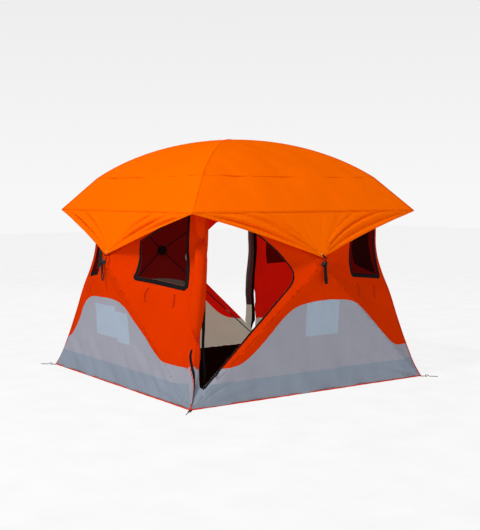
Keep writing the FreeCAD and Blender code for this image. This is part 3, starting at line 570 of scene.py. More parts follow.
def cloth_material(name, colour, weave=0.0011, grid=0.006, rough=0.6, vary=0.10, alpha=1.0,
                   crease=0.30, dust=0.0, painted_glow=0.0):
    """Woven cloth: fine weave, ripstop grid, soft creases and uneven colour, from the cloth's own UVs."""
    mat, tree, shader = node_material(name)
    coords = space(tree, "UV")
    thread = link_math(tree, "ADD", *(link_wave(tree, coords, weave, axis) for axis in "XY"))
    rip = link_math(tree, "MAXIMUM", *(link_wave(tree, coords, grid, axis) for axis in "XY"))
    rip = link_math(tree, "POWER", rip, 8.0)
    folds = link_noise(tree, coords, 9.0, 4.0, 0.5)
    patches = link_noise(tree, coords, 2.3, 5.0, 0.6)
    fine = link_noise(tree, coords, 160.0, 2.0)
    blotch = link_math(tree, "ADD", link_math(tree, "MULTIPLY", patches, 0.8),
                       link_math(tree, "MULTIPLY", fine, 0.2))
    colour_out = link_ramp(tree, blotch, (
        (0.30, scaled(colour, 1 - vary)), (0.52, colour), (0.75, scaled(colour, 1 + vary * 0.7)),
    ))
    if dust:
        split = tree.nodes.new("ShaderNodeSeparateXYZ")
        tree.links.new(space(tree, "Object"), split.inputs[0])
        low = tree.nodes.new("ShaderNodeMapRange")
        set_inputs(low, From_Min=0.0, From_Max=0.16, To_Min=dust, To_Max=0.0)
        tree.links.new(split.outputs["Z"], low.inputs["Value"])
        mix = tree.nodes.new("ShaderNodeMix")
        mix.data_type = "RGBA"
        tree.links.new(link_math(tree, "MULTIPLY", low.outputs[0], patches), mix.inputs["Factor"])
        tree.links.new(colour_out, mix.inputs["A"])
        mix.inputs["B"].default_value = (0.32, 0.27, 0.20, 1)
        colour_out = mix.outputs["Result"]
    tree.links.new(colour_out, shader.inputs["Base Color"])
    polish = link_greys(tree, fine, 0.3, rough - 0.07, 0.7, rough + 0.07)
    tree.links.new(polish, shader.inputs["Roughness"])
    normal = link_bump(tree, folds, crease, 0.012)
    normal = link_bump(tree, rip, 0.25, 0.0003, normal)
    normal = link_bump(tree, thread, 0.35, 0.0002, normal)
    tree.links.new(normal, shader.inputs["Normal"])
    set_inputs(shader, Specular_IOR_Level=0.0, Alpha=alpha)
    if painted_glow:
        # painted light: emission stands in for daylight that comes through the cloth to its inner side
        tree.links.new(colour_out, shader.inputs["Emission Color"])
        set_inputs(shader, Emission_Strength=painted_glow)
    return mat


def webbing_material(name, colour, rib=0.0022):
    """Woven webbing: ribs and strands, with paler worn patches."""
    mat, tree, shader = node_material(name)
    coords = space(tree, "UV")
    ribs = link_wave(tree, coords, rib, "Y")
    strands = link_wave(tree, coords, rib, "X")
    wear = link_noise(tree, coords, 60.0, 4.0)
    tree.links.new(link_ramp(tree, wear, (
        (0.3, scaled(colour, 0.75)), (0.55, colour), (0.8, scaled(colour, 1.7)),
    )), shader.inputs["Base Color"])
    tree.links.new(link_greys(tree, wear, 0.3, 0.62, 0.7, 0.82), shader.inputs["Roughness"])
    height = link_math(tree, "ADD", ribs, link_math(tree, "MULTIPLY", strands, 0.5))
    tree.links.new(link_bump(tree, height, 0.6, 0.0005), shader.inputs["Normal"])
    set_inputs(shader, Specular_IOR_Level=0.12)
    return mat


def hard_material(name, colour, metal=0.0, rough=0.4, grain=220.0, bump=0.12, vary=0.2, coat=0.0):
    """Plastic, rod or metal with fine grain, uneven colour and uneven polish."""
    mat, tree, shader = node_material(name)
    coords = space(tree, "Object")
    fine = link_noise(tree, coords, grain, 3.0)
    wide = link_noise(tree, coords, 14.0, 4.0)
    tree.links.new(link_ramp(tree, wide, (
        (0.3, scaled(colour, 1 - vary)), (0.5, colour), (0.72, scaled(colour, 1 + vary)),
    )), shader.inputs["Base Color"])
    both = link_math(tree, "ADD", link_math(tree, "MULTIPLY", wide, 0.6),
                     link_math(tree, "MULTIPLY", fine, 0.4))
    polish = link_greys(tree, both, 0.35, max(0.02, rough - 0.1), 0.65, rough + 0.12)
    tree.links.new(polish, shader.inputs["Roughness"])
    tree.links.new(link_bump(tree, fine, bump, 0.0004), shader.inputs["Normal"])
    set_inputs(shader, Metallic=metal, Coat_Weight=coat)
    return mat


ORANGE = cloth_material("wall_orange", (0.66, 0.034, 0.0002))
GREY = cloth_material("wall_grey", (0.325, 0.33, 0.385), vary=0.06)
GREY_LOW = cloth_material("skirt_grey", (0.255, 0.295, 0.365), vary=0.08, dust=0.12, rough=0.45)
GREY_POCKET = cloth_material("pocket_grey", (0.357, 0.42, 0.513), vary=0.05)
# inner side of the orange cloth: deep red as painted shade of the same orange, with emission as painted
# light
ORANGE_INSIDE_SHADED = cloth_material("orange_inside_painted_shade", (0.50, 0.006, 0.002), vary=0.12, painted_glow=0.55)
# inner side of the grey cloth; its emission is painted light
INNER_BEIGE = cloth_material("lining_beige", (0.385, 0.365, 0.30), vary=0.08, painted_glow=0.55)
FLY = cloth_material("fly_orange", (0.95, 0.135, 0.0002), rough=0.55, vary=0.05)
# inner side of the fly: a darker, redder copy of the fly orange as painted shade, with emission as painted
# light
FLY_INSIDE = cloth_material("fly_inside", (0.70, 0.06, 0.002), painted_glow=0.35)
FLOOR = cloth_material("floor_black", (0.010, 0.005, 0.004), rough=0.6, vary=0.3, crease=0.6)
SCREEN = cloth_material("window_mesh", (0.006, 0.002, 0.002), weave=0.0022, grid=0.0022, alpha=0.6)
ROLLED_MESH = cloth_material("rolled_mesh", (0.16, 0.15, 0.155), weave=0.0022, grid=0.0022)
BLACK_CLOTH = cloth_material("binding_black", (0.012, 0.011, 0.012), rough=0.7, vary=0.3, grid=0.003)
PIPING = cloth_material("piping_red", (0.72, 0.035, 0.006), rough=0.5, vary=0.1, grid=0.003)
WEBBING = webbing_material("webbing_black", (0.008, 0.007, 0.007))
TIE = webbing_material("tie_red", (0.55, 0.022, 0.001), rib=0.0015)
ROD = hard_material("fibreglass_black", (0.012, 0.012, 0.013), rough=0.22, coat=0.4)
FERRULE = hard_material("ferrule_steel", (0.50, 0.51, 0.53), metal=1.0, rough=0.3)
PLASTIC = hard_material("hub_plastic", (0.016, 0.016, 0.017), rough=0.5, bump=0.3)
STEEL = hard_material("stake_steel", (0.11, 0.11, 0.12), metal=1.0, rough=0.45)
PAINT = hard_material("bracket_paint", (0.022, 0.022, 0.024), rough=0.38)
BRASS = hard_material("grommet_brass", (0.72, 0.50, 0.18), metal=1.0, rough=0.3)
ZIP_METAL = hard_material("slider_metal", (0.03, 0.03, 0.032), metal=0.6, rough=0.35)
WALL_MATERIALS = [ORANGE, GREY, GREY_LOW, GREY_POCKET, ORANGE_INSIDE_SHADED, INNER_BEIGE, INNER_BEIGE, INNER_BEIGE]
INNER = 4

# ---------------------------------------------------------------- panel ends

CORNERS = {
    "bottom_left": Vector((-HALF, -HALF, 0.002)), "bottom_right": Vector((HALF, -HALF, 0.002)),
    "top_left": Vector((-TOP_HALF, -TOP_HALF, TOP_Z)), "top_right": Vector((TOP_HALF, -TOP_HALF, TOP_Z)),
}
PANEL_ENDS = {
    "bottom": ("bottom_left", "bottom_right"), "top": ("top_left", "top_right"),
    "left": ("bottom_left", "top_left"), "right": ("bottom_right", "top_right"),
}
STILL, CARRIED = 0.08, 0.965


def bend_with(obj, wall, part):
    """Bake a piece's transform; the ends of its panel or pole line towards a wall's hub are worked out, but
    nothing bends it.
    """
    if part in CORNERS:
        foot = CORNERS[part]
    else:
        a, b = (CORNERS[c] for c in PANEL_ENDS[part])
        foot = a + (b - a) * ((HUB - a).dot(b - a) / (b - a).length_squared)
    start, end = foot + (HUB - foot) * STILL, foot + (HUB - foot) * CARRIED
    turn = TURNS[wall]
    tuple(spin(start, turn))
    tuple(spin(end, turn))
    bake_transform(obj)


def bend_with_roof(obj):
    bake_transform(obj)


# ---------------------------------------------------------------- walls


def hump(u, door):
    return np.interp(u, *HUMPS[door])


def clip_line(points, loop):
    """The stretch of a line that is inside an outline, as runs of points."""
    points = walk(points, 0.004)
    mask = inside(points, loop)
    runs, run = [], []
    for p, m in zip(points, mask):
        if m:
            run.append(p)
        elif run:
            runs.append(run)
            run = []
    if run:
        runs.append(run)
    return [walk(r[:-1:4] + [r[-1]], 0.02) for r in runs if len(r) > 3]


def seam_line(side, low=0.002, high=TOP_Z):
    return [(side * float(seam(z)), z) for z in np.linspace(low, high, 90)]


def panel_outlines():
    left, right = seam_line(-1), seam_line(1)
    hub = (0.0, HUB_Z)
    return {
        "bottom": [(-HALF, 0.002), (HALF, 0.002), hub],
        "top": [hub, (TOP_HALF, TOP_Z), (-TOP_HALF, TOP_Z)],
        "left": [hub, *left[::-1]],
        "right": [hub, *right],
    }


def mirror_loop(loop):
    return [(-u, z) for u, z in reversed(list(map(tuple, loop)))]


def wall_seed(wall):
    return 40 * TURNS[wall] + 7


WINDOW_LOOPS = {door: rounded(corners, 0.003, 1) for door, corners in WINDOWS.items()}
DOOR_LOOP = rounded(DOOR, 0.05, 3)
ZIP_END = 4 * 9 - 1
POCKETS = {
    True: [[(-0.13, 0.46), (0.20, 0.46), (0.20, 0.80), (-0.13, 0.80)]],
    False: [
        [(-0.27, 0.40), (0.08, 0.40), (0.08, 0.66), (-0.27, 0.66)],
        [(0.08, 0.37), (0.30, 0.37), (0.30, 0.62), (0.08, 0.62)],
    ],
}


def region(middles, door):
    """Which outer material each face of a wall has."""
    u, z = middles[:, 0], middles[:, 1]
    slots = np.where(z < hump(u, door), 1, 0)
    for pocket in POCKETS[door]:
        slots[inside(middles, np.array(pocket)) & (slots == 1)] = 3
    slots[z < BAND_Z] = 2
    return slots


def openings_in(door):
    """Outlines of what is cut from a wall's two side panels."""
    right = [WINDOW_LOOPS[door]]
    left = [DOOR_LOOP] if door else [np.array(mirror_loop(WINDOW_LOOPS[door]))]
    return {"left": left, "right": right, "bottom": [], "top": []}


def colour_edges(loop, holes, door):
    """The lines in a panel where one colour meets the next, clear of its holes."""
    hump_line = [(u, float(hump(u, door))) for u in np.linspace(-1.25, 1.25, 160)]
    band_line = [(-1.25, BAND_Z), (1.25, BAND_Z)]
    lines = []
    for run in clip_line(hump_line, loop) + clip_line(band_line, loop):
        keep = np.ones(len(run), bool)
        for hole in holes:
            keep &= ~inside(run, grown(np.array(hole), 0.004))
        if keep.all():
            lines.append(run)
        elif keep.any():
            kept = np.flatnonzero(keep)
            pieces = np.split(kept, np.flatnonzero(np.diff(kept) > 1) + 1)
            lines += [run[piece] for piece in pieces if len(piece) > 2]
    return lines


def build_wall(wall):
    turn, door, seed = TURNS[wall], wall in ("front", "back"), wall_seed(wall)
    holes = openings_in(door)
    pieces = []
    for part, outline in panel_outlines().items():
        loop = np.array(outline)
        lines = colour_edges(loop, holes[part], door)
        if part == "bottom":
            for pocket in POCKETS[door]:
                under = [(u, min(z, float(hump(u, door)))) for u, z in walk(pocket, 0.03, True)]
                lines += clip_line(under + under[:1], loop)
        verts, faces = flat_mesh(outline, holes[part], lines, 0.022)
        middles = np.array([verts[f].mean(axis=0) for f in faces])
        slots = region(middles, door)
        place = spin(wall_place(seed)(verts[:, 0], verts[:, 1]), turn)
        obj = cloth_piece(
            f"wall_{wall}_{part}", place, faces, verts, WALL_MATERIALS, list(slots), INNER,
        )
        bend_with(obj, wall, part)
        pieces.append(obj)
    for obj in pieces:
        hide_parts(f"wall_{wall}")
    return holes, seed


def wall_trim(name, wall, part, outline, holes, proud, thick, material, seed, spacing=0.016):
    """A flat band sewn on a wall, between an outline and the holes in it."""
    verts, faces = flat_mesh(outline, holes, (), spacing)
    place = spin(wall_place(seed, proud)(verts[:, 0], verts[:, 1]), TURNS[wall])
    obj = cloth_piece(name, place, faces, verts, [material], None, 0, thick)
    bend_with(obj, wall, part)
    return obj


for wall in TURNS:
    holes, seed = build_wall(wall)
    for part in ("left", "right"):
        hole = np.array(holes[part][0])
        is_door = part == "left" and wall in ("front", "back")
        if is_door:
            run = walk(DOOR_LOOP[2:ZIP_END], 0.015)
            ahead = np.gradient(run, axis=0)
            out = unit(np.stack([ahead[:, 1], -ahead[:, 0]], axis=1))
            band = np.vstack([run + out * 0.0095, (run - out * 0.0005)[::-1]])
            obj = wall_trim(f"zip_tape_{wall}", wall, part, band, [], 0.0026, 0.0022, BLACK_CLOTH,
                            seed, 0.012)
            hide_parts("door_zip_tapes")
            continue
        near, far = np.abs(hole[:, 0]).min(), np.abs(hole[:, 0]).max()
        low = hole[:, 1] < np.interp(np.abs(hole[:, 0]), (near, far), (0.940, 0.896))
        outer = np.abs(hole[:, 0]) > 0.72
        ring = grown(hole, np.where(low, 0.032, np.where(outer, 0.024, 0.010)))
        obj = wall_trim(f"window_binding_{wall}_{part}", wall, part, ring, [hole], 0.0026, 0.0022,
                        BLACK_CLOTH, seed)
        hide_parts("window_bindings")
        pane = wall_trim(f"window_screen_{wall}_{part}", wall, part, grown(hole, -0.0005), [], 0.0, 0.0006,
                         SCREEN, seed, 0.03)
        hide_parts("mesh_screens")
        if wall == COVERED_WALL:
            cover = wall_trim(f"window_cover_{part}", wall, part, grown(hole, 0.012), [], 0.0056, CLOTH,
                              ORANGE, seed, 0.025)
            cover.data.materials.append(ORANGE_INSIDE_SHADED)
            faces = cover.data.polygons
            inward = [int(f.normal.dot(cover.matrix_world.translation + f.center) < 0) for f in faces]
            faces.foreach_set("material_index", inward)

# ---------------------------------------------------------------- piping and hems


def corner_piping(turn):
    z = np.linspace(0.004, TOP_Z - 0.01, 120)
    s = seam(z) + 0.0015
    path = spin(np.stack([s, -s, z], axis=1), turn)
    obj = tube_object(f"corner_piping_{turn}", round_rings(path, 0.0042, 8), PIPING)
    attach(obj, "shelter")


def hem_piping():
    side = []
    for turn in range(4):
        u = np.linspace(-HALF, HALF, 90)[:-1]
        out = HALF + 0.002 + 0.002 * np.sin(u * 9 + turn) * (1 - (u / HALF) ** 2)
        z = 0.0055 + 0.0012 * np.sin(u * 23 + turn) ** 2
        side.append(spin(np.stack([u, -out, z], axis=1), turn))
    path = np.vstack(side + [side[0][:1]])
    obj = tube_object("hem_piping", round_rings(path, 0.0045, 8), PIPING)
    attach(obj, "shelter")


for turn in range(4):
    corner_piping(turn)
hem_piping()

# ---------------------------------------------------------------- fly


def fly_height(h):
    """Height of the fly at a distance out: a dome, then the straight slope of the eaves."""
    dome = DOME_CENTRE + np.sqrt(np.maximum(DOME_RADIUS**2 - h**2, 0))
    rim = DOME_CENTRE + math.sqrt(DOME_RADIUS**2 - FLY_HALF**2)
    slope = rim + (h - FLY_HALF) / (EAVE_HALF - FLY_HALF) * (EAVE_Z - rim)
    return np.where(h < FLY_HALF, dome, slope)


def fly_sheet(name, half_out, height, materials, seed, lift=0.0, wrinkles=1.0):
    """A square domed sheet in one piece: rings of points from its peak to its edge."""
    per_side, rings = 72, len(half_out)
    u = np.linspace(-1, 1, per_side + 1)[:-1]
    verts, uvs = [(0.0, 0.0, float(height(np.array(0.0))) + lift)], [(0.0, 0.0)]
    for h in half_out:
        x, out = u * h, np.full_like(u, h)
        z = height(out) + lift
        ridge = 1 - np.abs(u)
        sag = 0.010 * np.sin(math.pi * np.clip(h / EAVE_HALF, 0, 1)) * (1 - u**2)
        wave = np.zeros_like(u)
        for side in (-1, 1):
            wave += fan(x, out, (side * EAVE_HALF, EAVE_HALF), 13, 0.0085, 0.32, seed + side, 0.20)
        wave += ripple(x, out, seed + 5, 0.34, 0.0040)
        wave += ripple(x * 0.4, out, seed + 6, 0.10, 0.0009)
        wave *= smooth(h * ridge, 0.02, 0.16) * wrinkles
        edge = np.minimum((EAVE_HALF - h) / 0.05, 1)
        z = z - sag * wrinkles + wave * (0.25 + 0.75 * edge)
        for turn in range(4):
            ring = spin(np.stack([x, -out, z], axis=1), turn)
            verts += [tuple(p) for p in ring]
            uvs += [(p[0], p[1]) for p in ring]
    count = 4 * per_side
    faces = [[0, 1 + j, 1 + (j + 1) % count] for j in range(count)]
    for i in range(rings - 1):
        a, b = 1 + i * count, 1 + (i + 1) * count
        for j in range(count):
            k = (j + 1) % count
            faces.append([a + j, b + j, b + k, a + k])
    verts, uvs = np.array(verts), np.array(uvs)
    return cloth_piece(name, verts, faces, uvs, materials, None, 1)


FLY_RINGS = np.concatenate([
    np.linspace(0.02, FLY_HALF - 0.01, 48), [FLY_HALF], np.linspace(FLY_HALF + 0.01, EAVE_HALF, 16),
])
fly = fly_sheet("fly_dome", FLY_RINGS, fly_height, [FLY, FLY_INSIDE], 300)
bend_with_roof(fly)
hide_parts("fly_cover")


def canopy_height(h):
    return DOME_CENTRE + np.sqrt(np.maximum((DOME_RADIUS - 0.016) ** 2 - h**2, 0))


canopy = fly_sheet("roof_canopy_sheet", np.linspace(0.02, TOP_HALF, 30), canopy_height,
                   [ORANGE, ORANGE_INSIDE_SHADED], 340, wrinkles=0.3)
bend_with_roof(canopy)
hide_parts("roof_canopy")


def flap_out(u, z, seed):
    t = (EAVE_Z - z) / (EAVE_Z - FLAP_Z)
    out = EAVE_HALF + (FLAP_OUT - EAVE_HALF) * t
    edge = np.clip(t / 0.10, 0, 1)
    tip, corner = (0, FLAP_Z), (EAVE_HALF, EAVE_Z)
    wave = fan(u, z, tip, 17, 0.0035, 0.50, seed, 0.20)
    wave += taut(u, z, tip, corner, 3.0, 0.0190, 0.19, seed + 2)
    wave += taut(-u, z, tip, corner, 2.7, 0.0190, 0.19, seed + 3)
    wave += ripple(u, z, seed + 9, 0.22, 0.0016)
    return out - 0.006 * np.sin(math.pi * np.clip(t, 0, 1)) + wave * edge


def build_flap(wall):
    turn, seed = TURNS[wall], 500 + 20 * TURNS[wall]
    t = np.linspace(0, 1, 40)
    bow = 0.014 * np.sin(math.pi * t)
    fall = EAVE_Z - 0.004 + (FLAP_Z - EAVE_Z) * t + bow
    right = list(zip(EAVE_HALF * (1 - t) - 0.002, fall))
    tip = [(0.012, FLAP_Z + 0.001), (0, FLAP_Z - 0.004), (-0.012, FLAP_Z + 0.001)]
    loop = [*[p for p in right if p[0] > 0.02], *tip, *[(-u, z) for u, z in reversed(right) if u > 0.02]]
    loop = loop[::-1]
    verts, faces = flat_mesh(loop, [circle(0, FLAP_Z + 0.020, 0.0045, 12)], (), 0.012)
    out = flap_out(verts[:, 0], verts[:, 1], seed)
    place = spin(np.stack([verts[:, 0], -out, verts[:, 1]], axis=1), turn)
    obj = cloth_piece(f"fly_flap_{wall}", place, faces, verts, [FLY, FLY_INSIDE], None, 1)
    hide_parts("fly_cover")
    start = spin((0, -EAVE_HALF, EAVE_Z - 0.02), turn)
    end = spin((0, -FLAP_OUT + 0.005, FLAP_Z + 0.03), turn)
    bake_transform(obj)
    # hem along the two hanging edges
    edge = np.array([p for p in right if p[0] > 0.02] + tip[:2])
    edge = np.vstack([edge, edge[-2::-1] * (-1, 1)])
    edge = walk(edge, 0.02)
    path = np.stack([edge[:, 0], -flap_out(edge[:, 0], edge[:, 1], seed), edge[:, 1]], axis=1)
    path = spin(path, turn)
    hem = tube_object(f"flap_hem_{wall}", round_rings(path, 0.0032, 8), FLY)
    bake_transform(hem)
    # brass grommet
    angle = np.linspace(0, 2 * math.pi, 33)
    ring = np.stack([0.0062 * np.cos(angle), 0 * angle, 0.0062 * np.sin(angle)], axis=1)
    centre = np.array([0, -FLAP_OUT + 0.0065, FLAP_Z + 0.020])
    rings = round_rings(spin(ring + centre, turn), 0.0022, 8, spin((0.01, 1.0, 0.01), turn))
    metal = tube_object(f"flap_grommet_{wall}", rings, BRASS)
    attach(metal, f"hub_{wall}")


for wall in TURNS:
    build_flap(wall)


CROSS_SEAM = 0.872


def fly_seams():
    """Raised seams down the four ridges, across the foot of the dome and along the eaves."""
    for turn in range(4):
        h = np.linspace(0.01, EAVE_HALF - 0.004, 90)
        z = fly_height(h) + 0.0006
        path = np.stack([h, -h, z], axis=1)
        across = np.tile([1.0, 1.0, 0.0], (len(h), 1))
        obj = ribbon(f"fly_ridge_seam_{turn}", path, across, 0.010, 0.0016, FLY, turn)
        bend_with_roof(obj)
        u = np.linspace(-CROSS_SEAM, CROSS_SEAM, 110)
        h = np.full_like(u, CROSS_SEAM)
        path = np.stack([u, -h, fly_height(h) + 0.0008 - 0.0063 * (1 - (u / CROSS_SEAM) ** 2)], axis=1)
        obj = ribbon(f"fly_cross_seam_{turn}", path, np.tile([0, -1.0, -0.5], (len(u), 1)), 0.009, 0.0016,
                     FLY, turn)
        bend_with_roof(obj)
        u = np.linspace(-EAVE_HALF, EAVE_HALF, 120)
        path = np.stack([u, np.full_like(u, -EAVE_HALF - 0.001), np.full_like(u, EAVE_Z - 0.001)], axis=1)
        obj = tube_object(f"fly_eave_seam_{turn}", round_rings(spin(path, turn), 0.0022, 8), FLY)
        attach(obj, "shelter")


fly_seams()

# ---------------------------------------------------------------- floor


def build_floor():
    count = 90
    half = HALF - 0.006
    line = np.linspace(-half, half, count)
    x, y = np.meshgrid(line, line)
    x, y = x.ravel(), y.ravel()
    edge = np.minimum(np.minimum(half - np.abs(x), half - np.abs(y)) / 0.06, 1)
    z = 0.0045 + (ripple(x, y, 71, 0.30, 0.0024) + ripple(x, y, 72, 0.11, 0.0009) + 0.0035) * edge
    z += 0.004 * (1 - edge)
    verts = np.stack([x, y, np.maximum(z, 0.0022)], axis=1)
    faces = []
    for j in range(count - 1):
        for i in range(count - 1):
            a = j * count + i
            faces.append([a, a + 1, a + count + 1, a + count])
    obj = cloth_piece("floor_cloth", verts, faces, np.stack([x, y], axis=1), [FLOOR], thick=0.0015)
    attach(obj, "shelter")
    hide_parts("floor_sheet")


build_floor()

# ---------------------------------------------------------------- poles

JOINTS = frame["record"]["behaviour"]["joints"]
POLE_BOW = 0.088


def pole_ends(wall, corner):
    """Where a pole's rod starts at its hub and ends at its corner."""
    name = f"pole_{wall}_{corner}"
    low, high = (np.array(v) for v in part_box(name))
    pin = next(np.array(j["pos_m"]) for j in JOINTS if j["name"] == f"{name}_pin")
    far = np.where(np.abs(high - pin) > np.abs(low - pin), high, low)
    return name, pin, far, low


def build_pole(wall, corner):
    name, pin, far, low = pole_ends(wall, corner)
    inward = np.sign(pin - far)
    tip = far + inward * 0.009
    bow = 0.0
    if wall == "roof":
        tip[2] = low[2] + 0.010
        bow = POLE_BOW
    t = np.linspace(0, 1, 61)
    path = pin + (tip - pin) * t[:, None]
    path[:, 2] += 4 * bow * t * (1 - t)
    length = np.linalg.norm(tip - pin)
    at = t * length
    radii = np.full_like(t, 0.0055)
    radii[at < 0.030] = 0.0042
    radii[at > length - 0.05] = 0.0046
    rod = tube_object(name + "_rod", round_rings(path, radii, 12), ROD)
    pieces = [rod]
    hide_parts(name)
    for fraction in (0.34, 0.67):
        around = fraction + np.array([-0.030, -0.0297, 0.0297, 0.030]) / length
        middle = pin + (tip - pin) * around[:, None]
        middle[:, 2] += 4 * bow * around * (1 - around)
        radius = np.array([0.0056, 0.0068, 0.0068, 0.0056])
        pieces.append(tube_object(f"{name}_ferrule_{int(fraction * 100)}", round_rings(middle, radius, 12),
                                  FERRULE))
    for obj in pieces:
        if wall == "roof":
            bend_with_roof(obj)
        else:
            bend_with(obj, wall, corner)


for wall in TURNS:
    for corner in CORNERS:
        build_pole(wall, corner)
for corner in ("front_left", "front_right", "back_right", "back_left"):
    build_pole("roof", corner)

# ---------------------------------------------------------------- rolled doors


def on_wall(u, z, seed, proud):
    return np.stack([u, -wall_out(u, z, seed) - proud, z], axis=-1)


# radius of the rolled door at heights up it, narrow at its two ties
ROLL_SIZE = (
    (0.04, 0.006), (0.10, 0.013), (0.20, 0.028), (0.32, 0.046), (0.42, 0.044), (0.50, 0.013),
    (0.57, 0.036), (0.68, 0.054), (0.95, 0.051), (1.10, 0.044), (1.17, 0.036), (1.22, 0.015),
    (1.28, 0.032), (1.40, 0.050), (1.50, 0.054),
)
TIE_HEIGHTS = (0.50, 1.22)


def build_roll(wall):
    """The door's cloth rolled into a long bundle and tied twice, its zip tape showing at the foot."""
    turn = TURNS[wall]
    z = np.linspace(0.045, 1.49, 200)
    size = np.interp(z, *curve_table(ROLL_SIZE))
    away = seam(z) + 0.002 + size * 0.66
    centre = np.stack([-away, -away, z], axis=1)
    sides = 72
    angle = np.arange(sides) / sides * 2 * math.pi
    tie = np.min(np.abs(z[:, None] - np.array(TIE_HEIGHTS)), axis=1)
    gather = np.exp(-(tie / 0.075) ** 2)
    a, zz = np.meshgrid(angle, z)
    ripples = 0.05 * np.sin(3 * a + 2.2 * zz) + 0.035 * np.sin(5 * a - 4.0 * zz + 1.0)
    ripples += 0.17 * gather[:, None] * np.sin(9 * a + 1.3 * np.sin(2 * a) + turn)
    ripples += 0.06 * (1 - smooth(z, 0.28, 0.5))[:, None] * np.sin(7 * a + 9 * zz)
    lap = 0.10 * smooth(((a + 0.25 * zz) % (2 * math.pi)), 0.0, 2 * math.pi)
    radius = size[:, None] * (1 + ripples - lap)
    ring = np.stack([
        centre[:, None, 0] + np.cos(a) * radius * 1.12, centre[:, None, 1] + np.sin(a) * radius * 0.92, zz,
    ], axis=-1)
    height = (zz[1:] + zz[:-1]) / 2
    middle = a[:-1] + math.pi / sides
    slots = np.where(height < 0.30 + 0.02 * np.sin(2 * middle), 1, 0)
    for start, width, slot in ((3.55, 0.26, 2), (3.12, 0.10, 3)):
        line = start + 1.75 * smooth(height, 0.42, 0.08)
        on_tape = np.abs((middle - line + math.pi) % (2 * math.pi) - math.pi) < width
        slots[on_tape & (height < 0.43)] = slot
    obj = tube_object(f"door_roll_{wall}", spin(ring, turn), [ORANGE, GREY, BLACK_CLOTH, PIPING],
                      list(slots.ravel()))
    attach(obj, "shelter")
    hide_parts("door_flaps")
    for number, height in enumerate(TIE_HEIGHTS):
        i = int(np.argmin(np.abs(z - height)))
        core = centre[i]
        r = size[i] * 1.16
        loop = np.arange(41) / 40 * 2 * math.pi
        path = np.stack([core[0] + np.cos(loop) * r * 1.10, core[1] + np.sin(loop) * r * 0.95,
                         height + 0.004 * np.sin(loop * 2)], axis=1)
        across = np.tile([0.02, 0.01, 1.0], (41, 1))
        band = ribbon(f"door_tie_{wall}_{number}", path, across, 0.016, 0.0018, TIE, turn)
        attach(band, "shelter")
        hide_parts("door_ties")
        front = core + np.array([0.25, -0.97, 0]) * r
        for k, (dx, drop) in enumerate(((-0.020, 0.055), (0.016, 0.070))):
            t = np.linspace(0, 1, 14)
            tail = front + np.stack([dx * t, -0.006 * np.sin(t * math.pi) - 0.002, -drop * t**1.2], axis=1)
            tail_obj = ribbon(f"door_tie_tail_{wall}_{number}_{k}", tail, np.tile([1.0, 0.15, 0.1], (14, 1)),
                              0.010, 0.0016, TIE, turn)
            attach(tail_obj, "shelter")


def build_screen_roll(wall):
    """The door's insect screen rolled up inside along the hinge; the back one hangs loose at its foot."""
    turn, loose = TURNS[wall], wall == "back"
    z = np.linspace(0.17, 1.44, 130)
    u = np.interp(z, (0.17, 0.215, 0.55, 1.12, 1.44), (-1.020, -1.000, -0.925, -0.853, -0.842))
    size = np.interp(z, (0.17, 0.26, 0.42, 0.60, 1.20, 1.44), (0.010, 0.042, 0.036, 0.038, 0.036, 0.028))
    size = size * 1.15 if loose else size * (0.28 + 0.34 * smooth(z, 0.50, 0.80))
    u = u + (0.018 if loose else -0.016 * smooth(z, 0.17, 0.5))
    depth = -wall_out(u, z) + 0.047
    angle = np.arange(48) / 48 * 2 * math.pi
    a, zz = np.meshgrid(angle, z)
    radius = size[:, None] * (1 + 0.07 * np.sin(3 * a + 5 * zz) + 0.05 * np.sin(7 * a - 9 * zz))
    ring = np.stack([u[:, None] + np.cos(a) * radius, depth[:, None] + np.sin(a) * radius, zz], axis=-1)
    height = (zz[1:] + zz[:-1]) / 2
    # black cloth on the screen rolls is partly zip tape and partly painted shade in the gap beside the roll:
    # the front roll is black all over, the back one has a black band down one side
    slots = np.where(height < 0.44, 1, 0) if loose else np.full(height.shape, 2)
    slots[(a[:-1] > 1.2) & (a[:-1] < 2.6)] = 2
    obj = tube_object(f"screen_roll_{wall}", spin(ring, turn), [ROLLED_MESH, INNER_BEIGE, BLACK_CLOTH],
                      list(slots.ravel()))
    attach(obj, "shelter")
    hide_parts("mesh_screens")


for wall in ("front", "back"):
    build_roll(wall)
    build_screen_roll(wall)

# ---------------------------------------------------------------- webbing and small parts


def window_ties(wall, part):
    """Two short cloth ties under each window."""
    seed, sign = wall_seed(wall), (1 if part == "right" else -1)
    for number, (u, z) in enumerate(((0.47, 0.838), (0.74, 0.806))):
        t = np.linspace(0, 1, 20)
        sway = 0.010 * np.sin(t * 4 + number * 2 + TURNS[wall])
        line_u, line_z = sign * (u + sway), z - 0.105 * t
        path = on_wall(line_u, line_z, seed, 0.004 + 0.008 * np.sin(math.pi * t))
        across = np.stack([np.cos(t * 1.5), 0.4 * np.sin(t * 3), 0 * t + 0.1], axis=1)
        obj = ribbon(f"window_tie_{wall}_{part}_{number}", path, across, 0.008, 0.0014, TIE, TURNS[wall])
        bend_with(obj, wall, part)


for wall in TURNS:
    for part in ("left", "right"):
        if part == "right" or wall in ("left", "right"):
            window_ties(wall, part)


def hub_patch(wall):
    """Square reinforcement sewn inside the cloth at a hub."""
    half = 0.052
    loop = [(-half, -half), (half, -half), (half, half), (-half, half)]
    verts, faces = flat_mesh(rounded(loop, 0.008), [circle(0, 0, 0.017, 20)], (), 0.012)
    if wall == "roof":
        place = np.stack([verts[:, 0], verts[:, 1], np.full(len(verts), 2.029 - 0.010)], axis=1)
    else:
        base = np.array(HUB - HUB_NORMAL * 0.010)
        place = base + verts[:, :1] * np.array([1.0, 0, 0]) + verts[:, 1:] * np.array(HUB_UP)
        place = spin(place, TURNS[wall])
    obj = cloth_piece(f"hub_patch_{wall}", place, faces, verts, [ORANGE], thick=0.002)
    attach(obj, f"hub_{wall}")


for wall in (*TURNS, "roof"):
    hub_patch(wall)


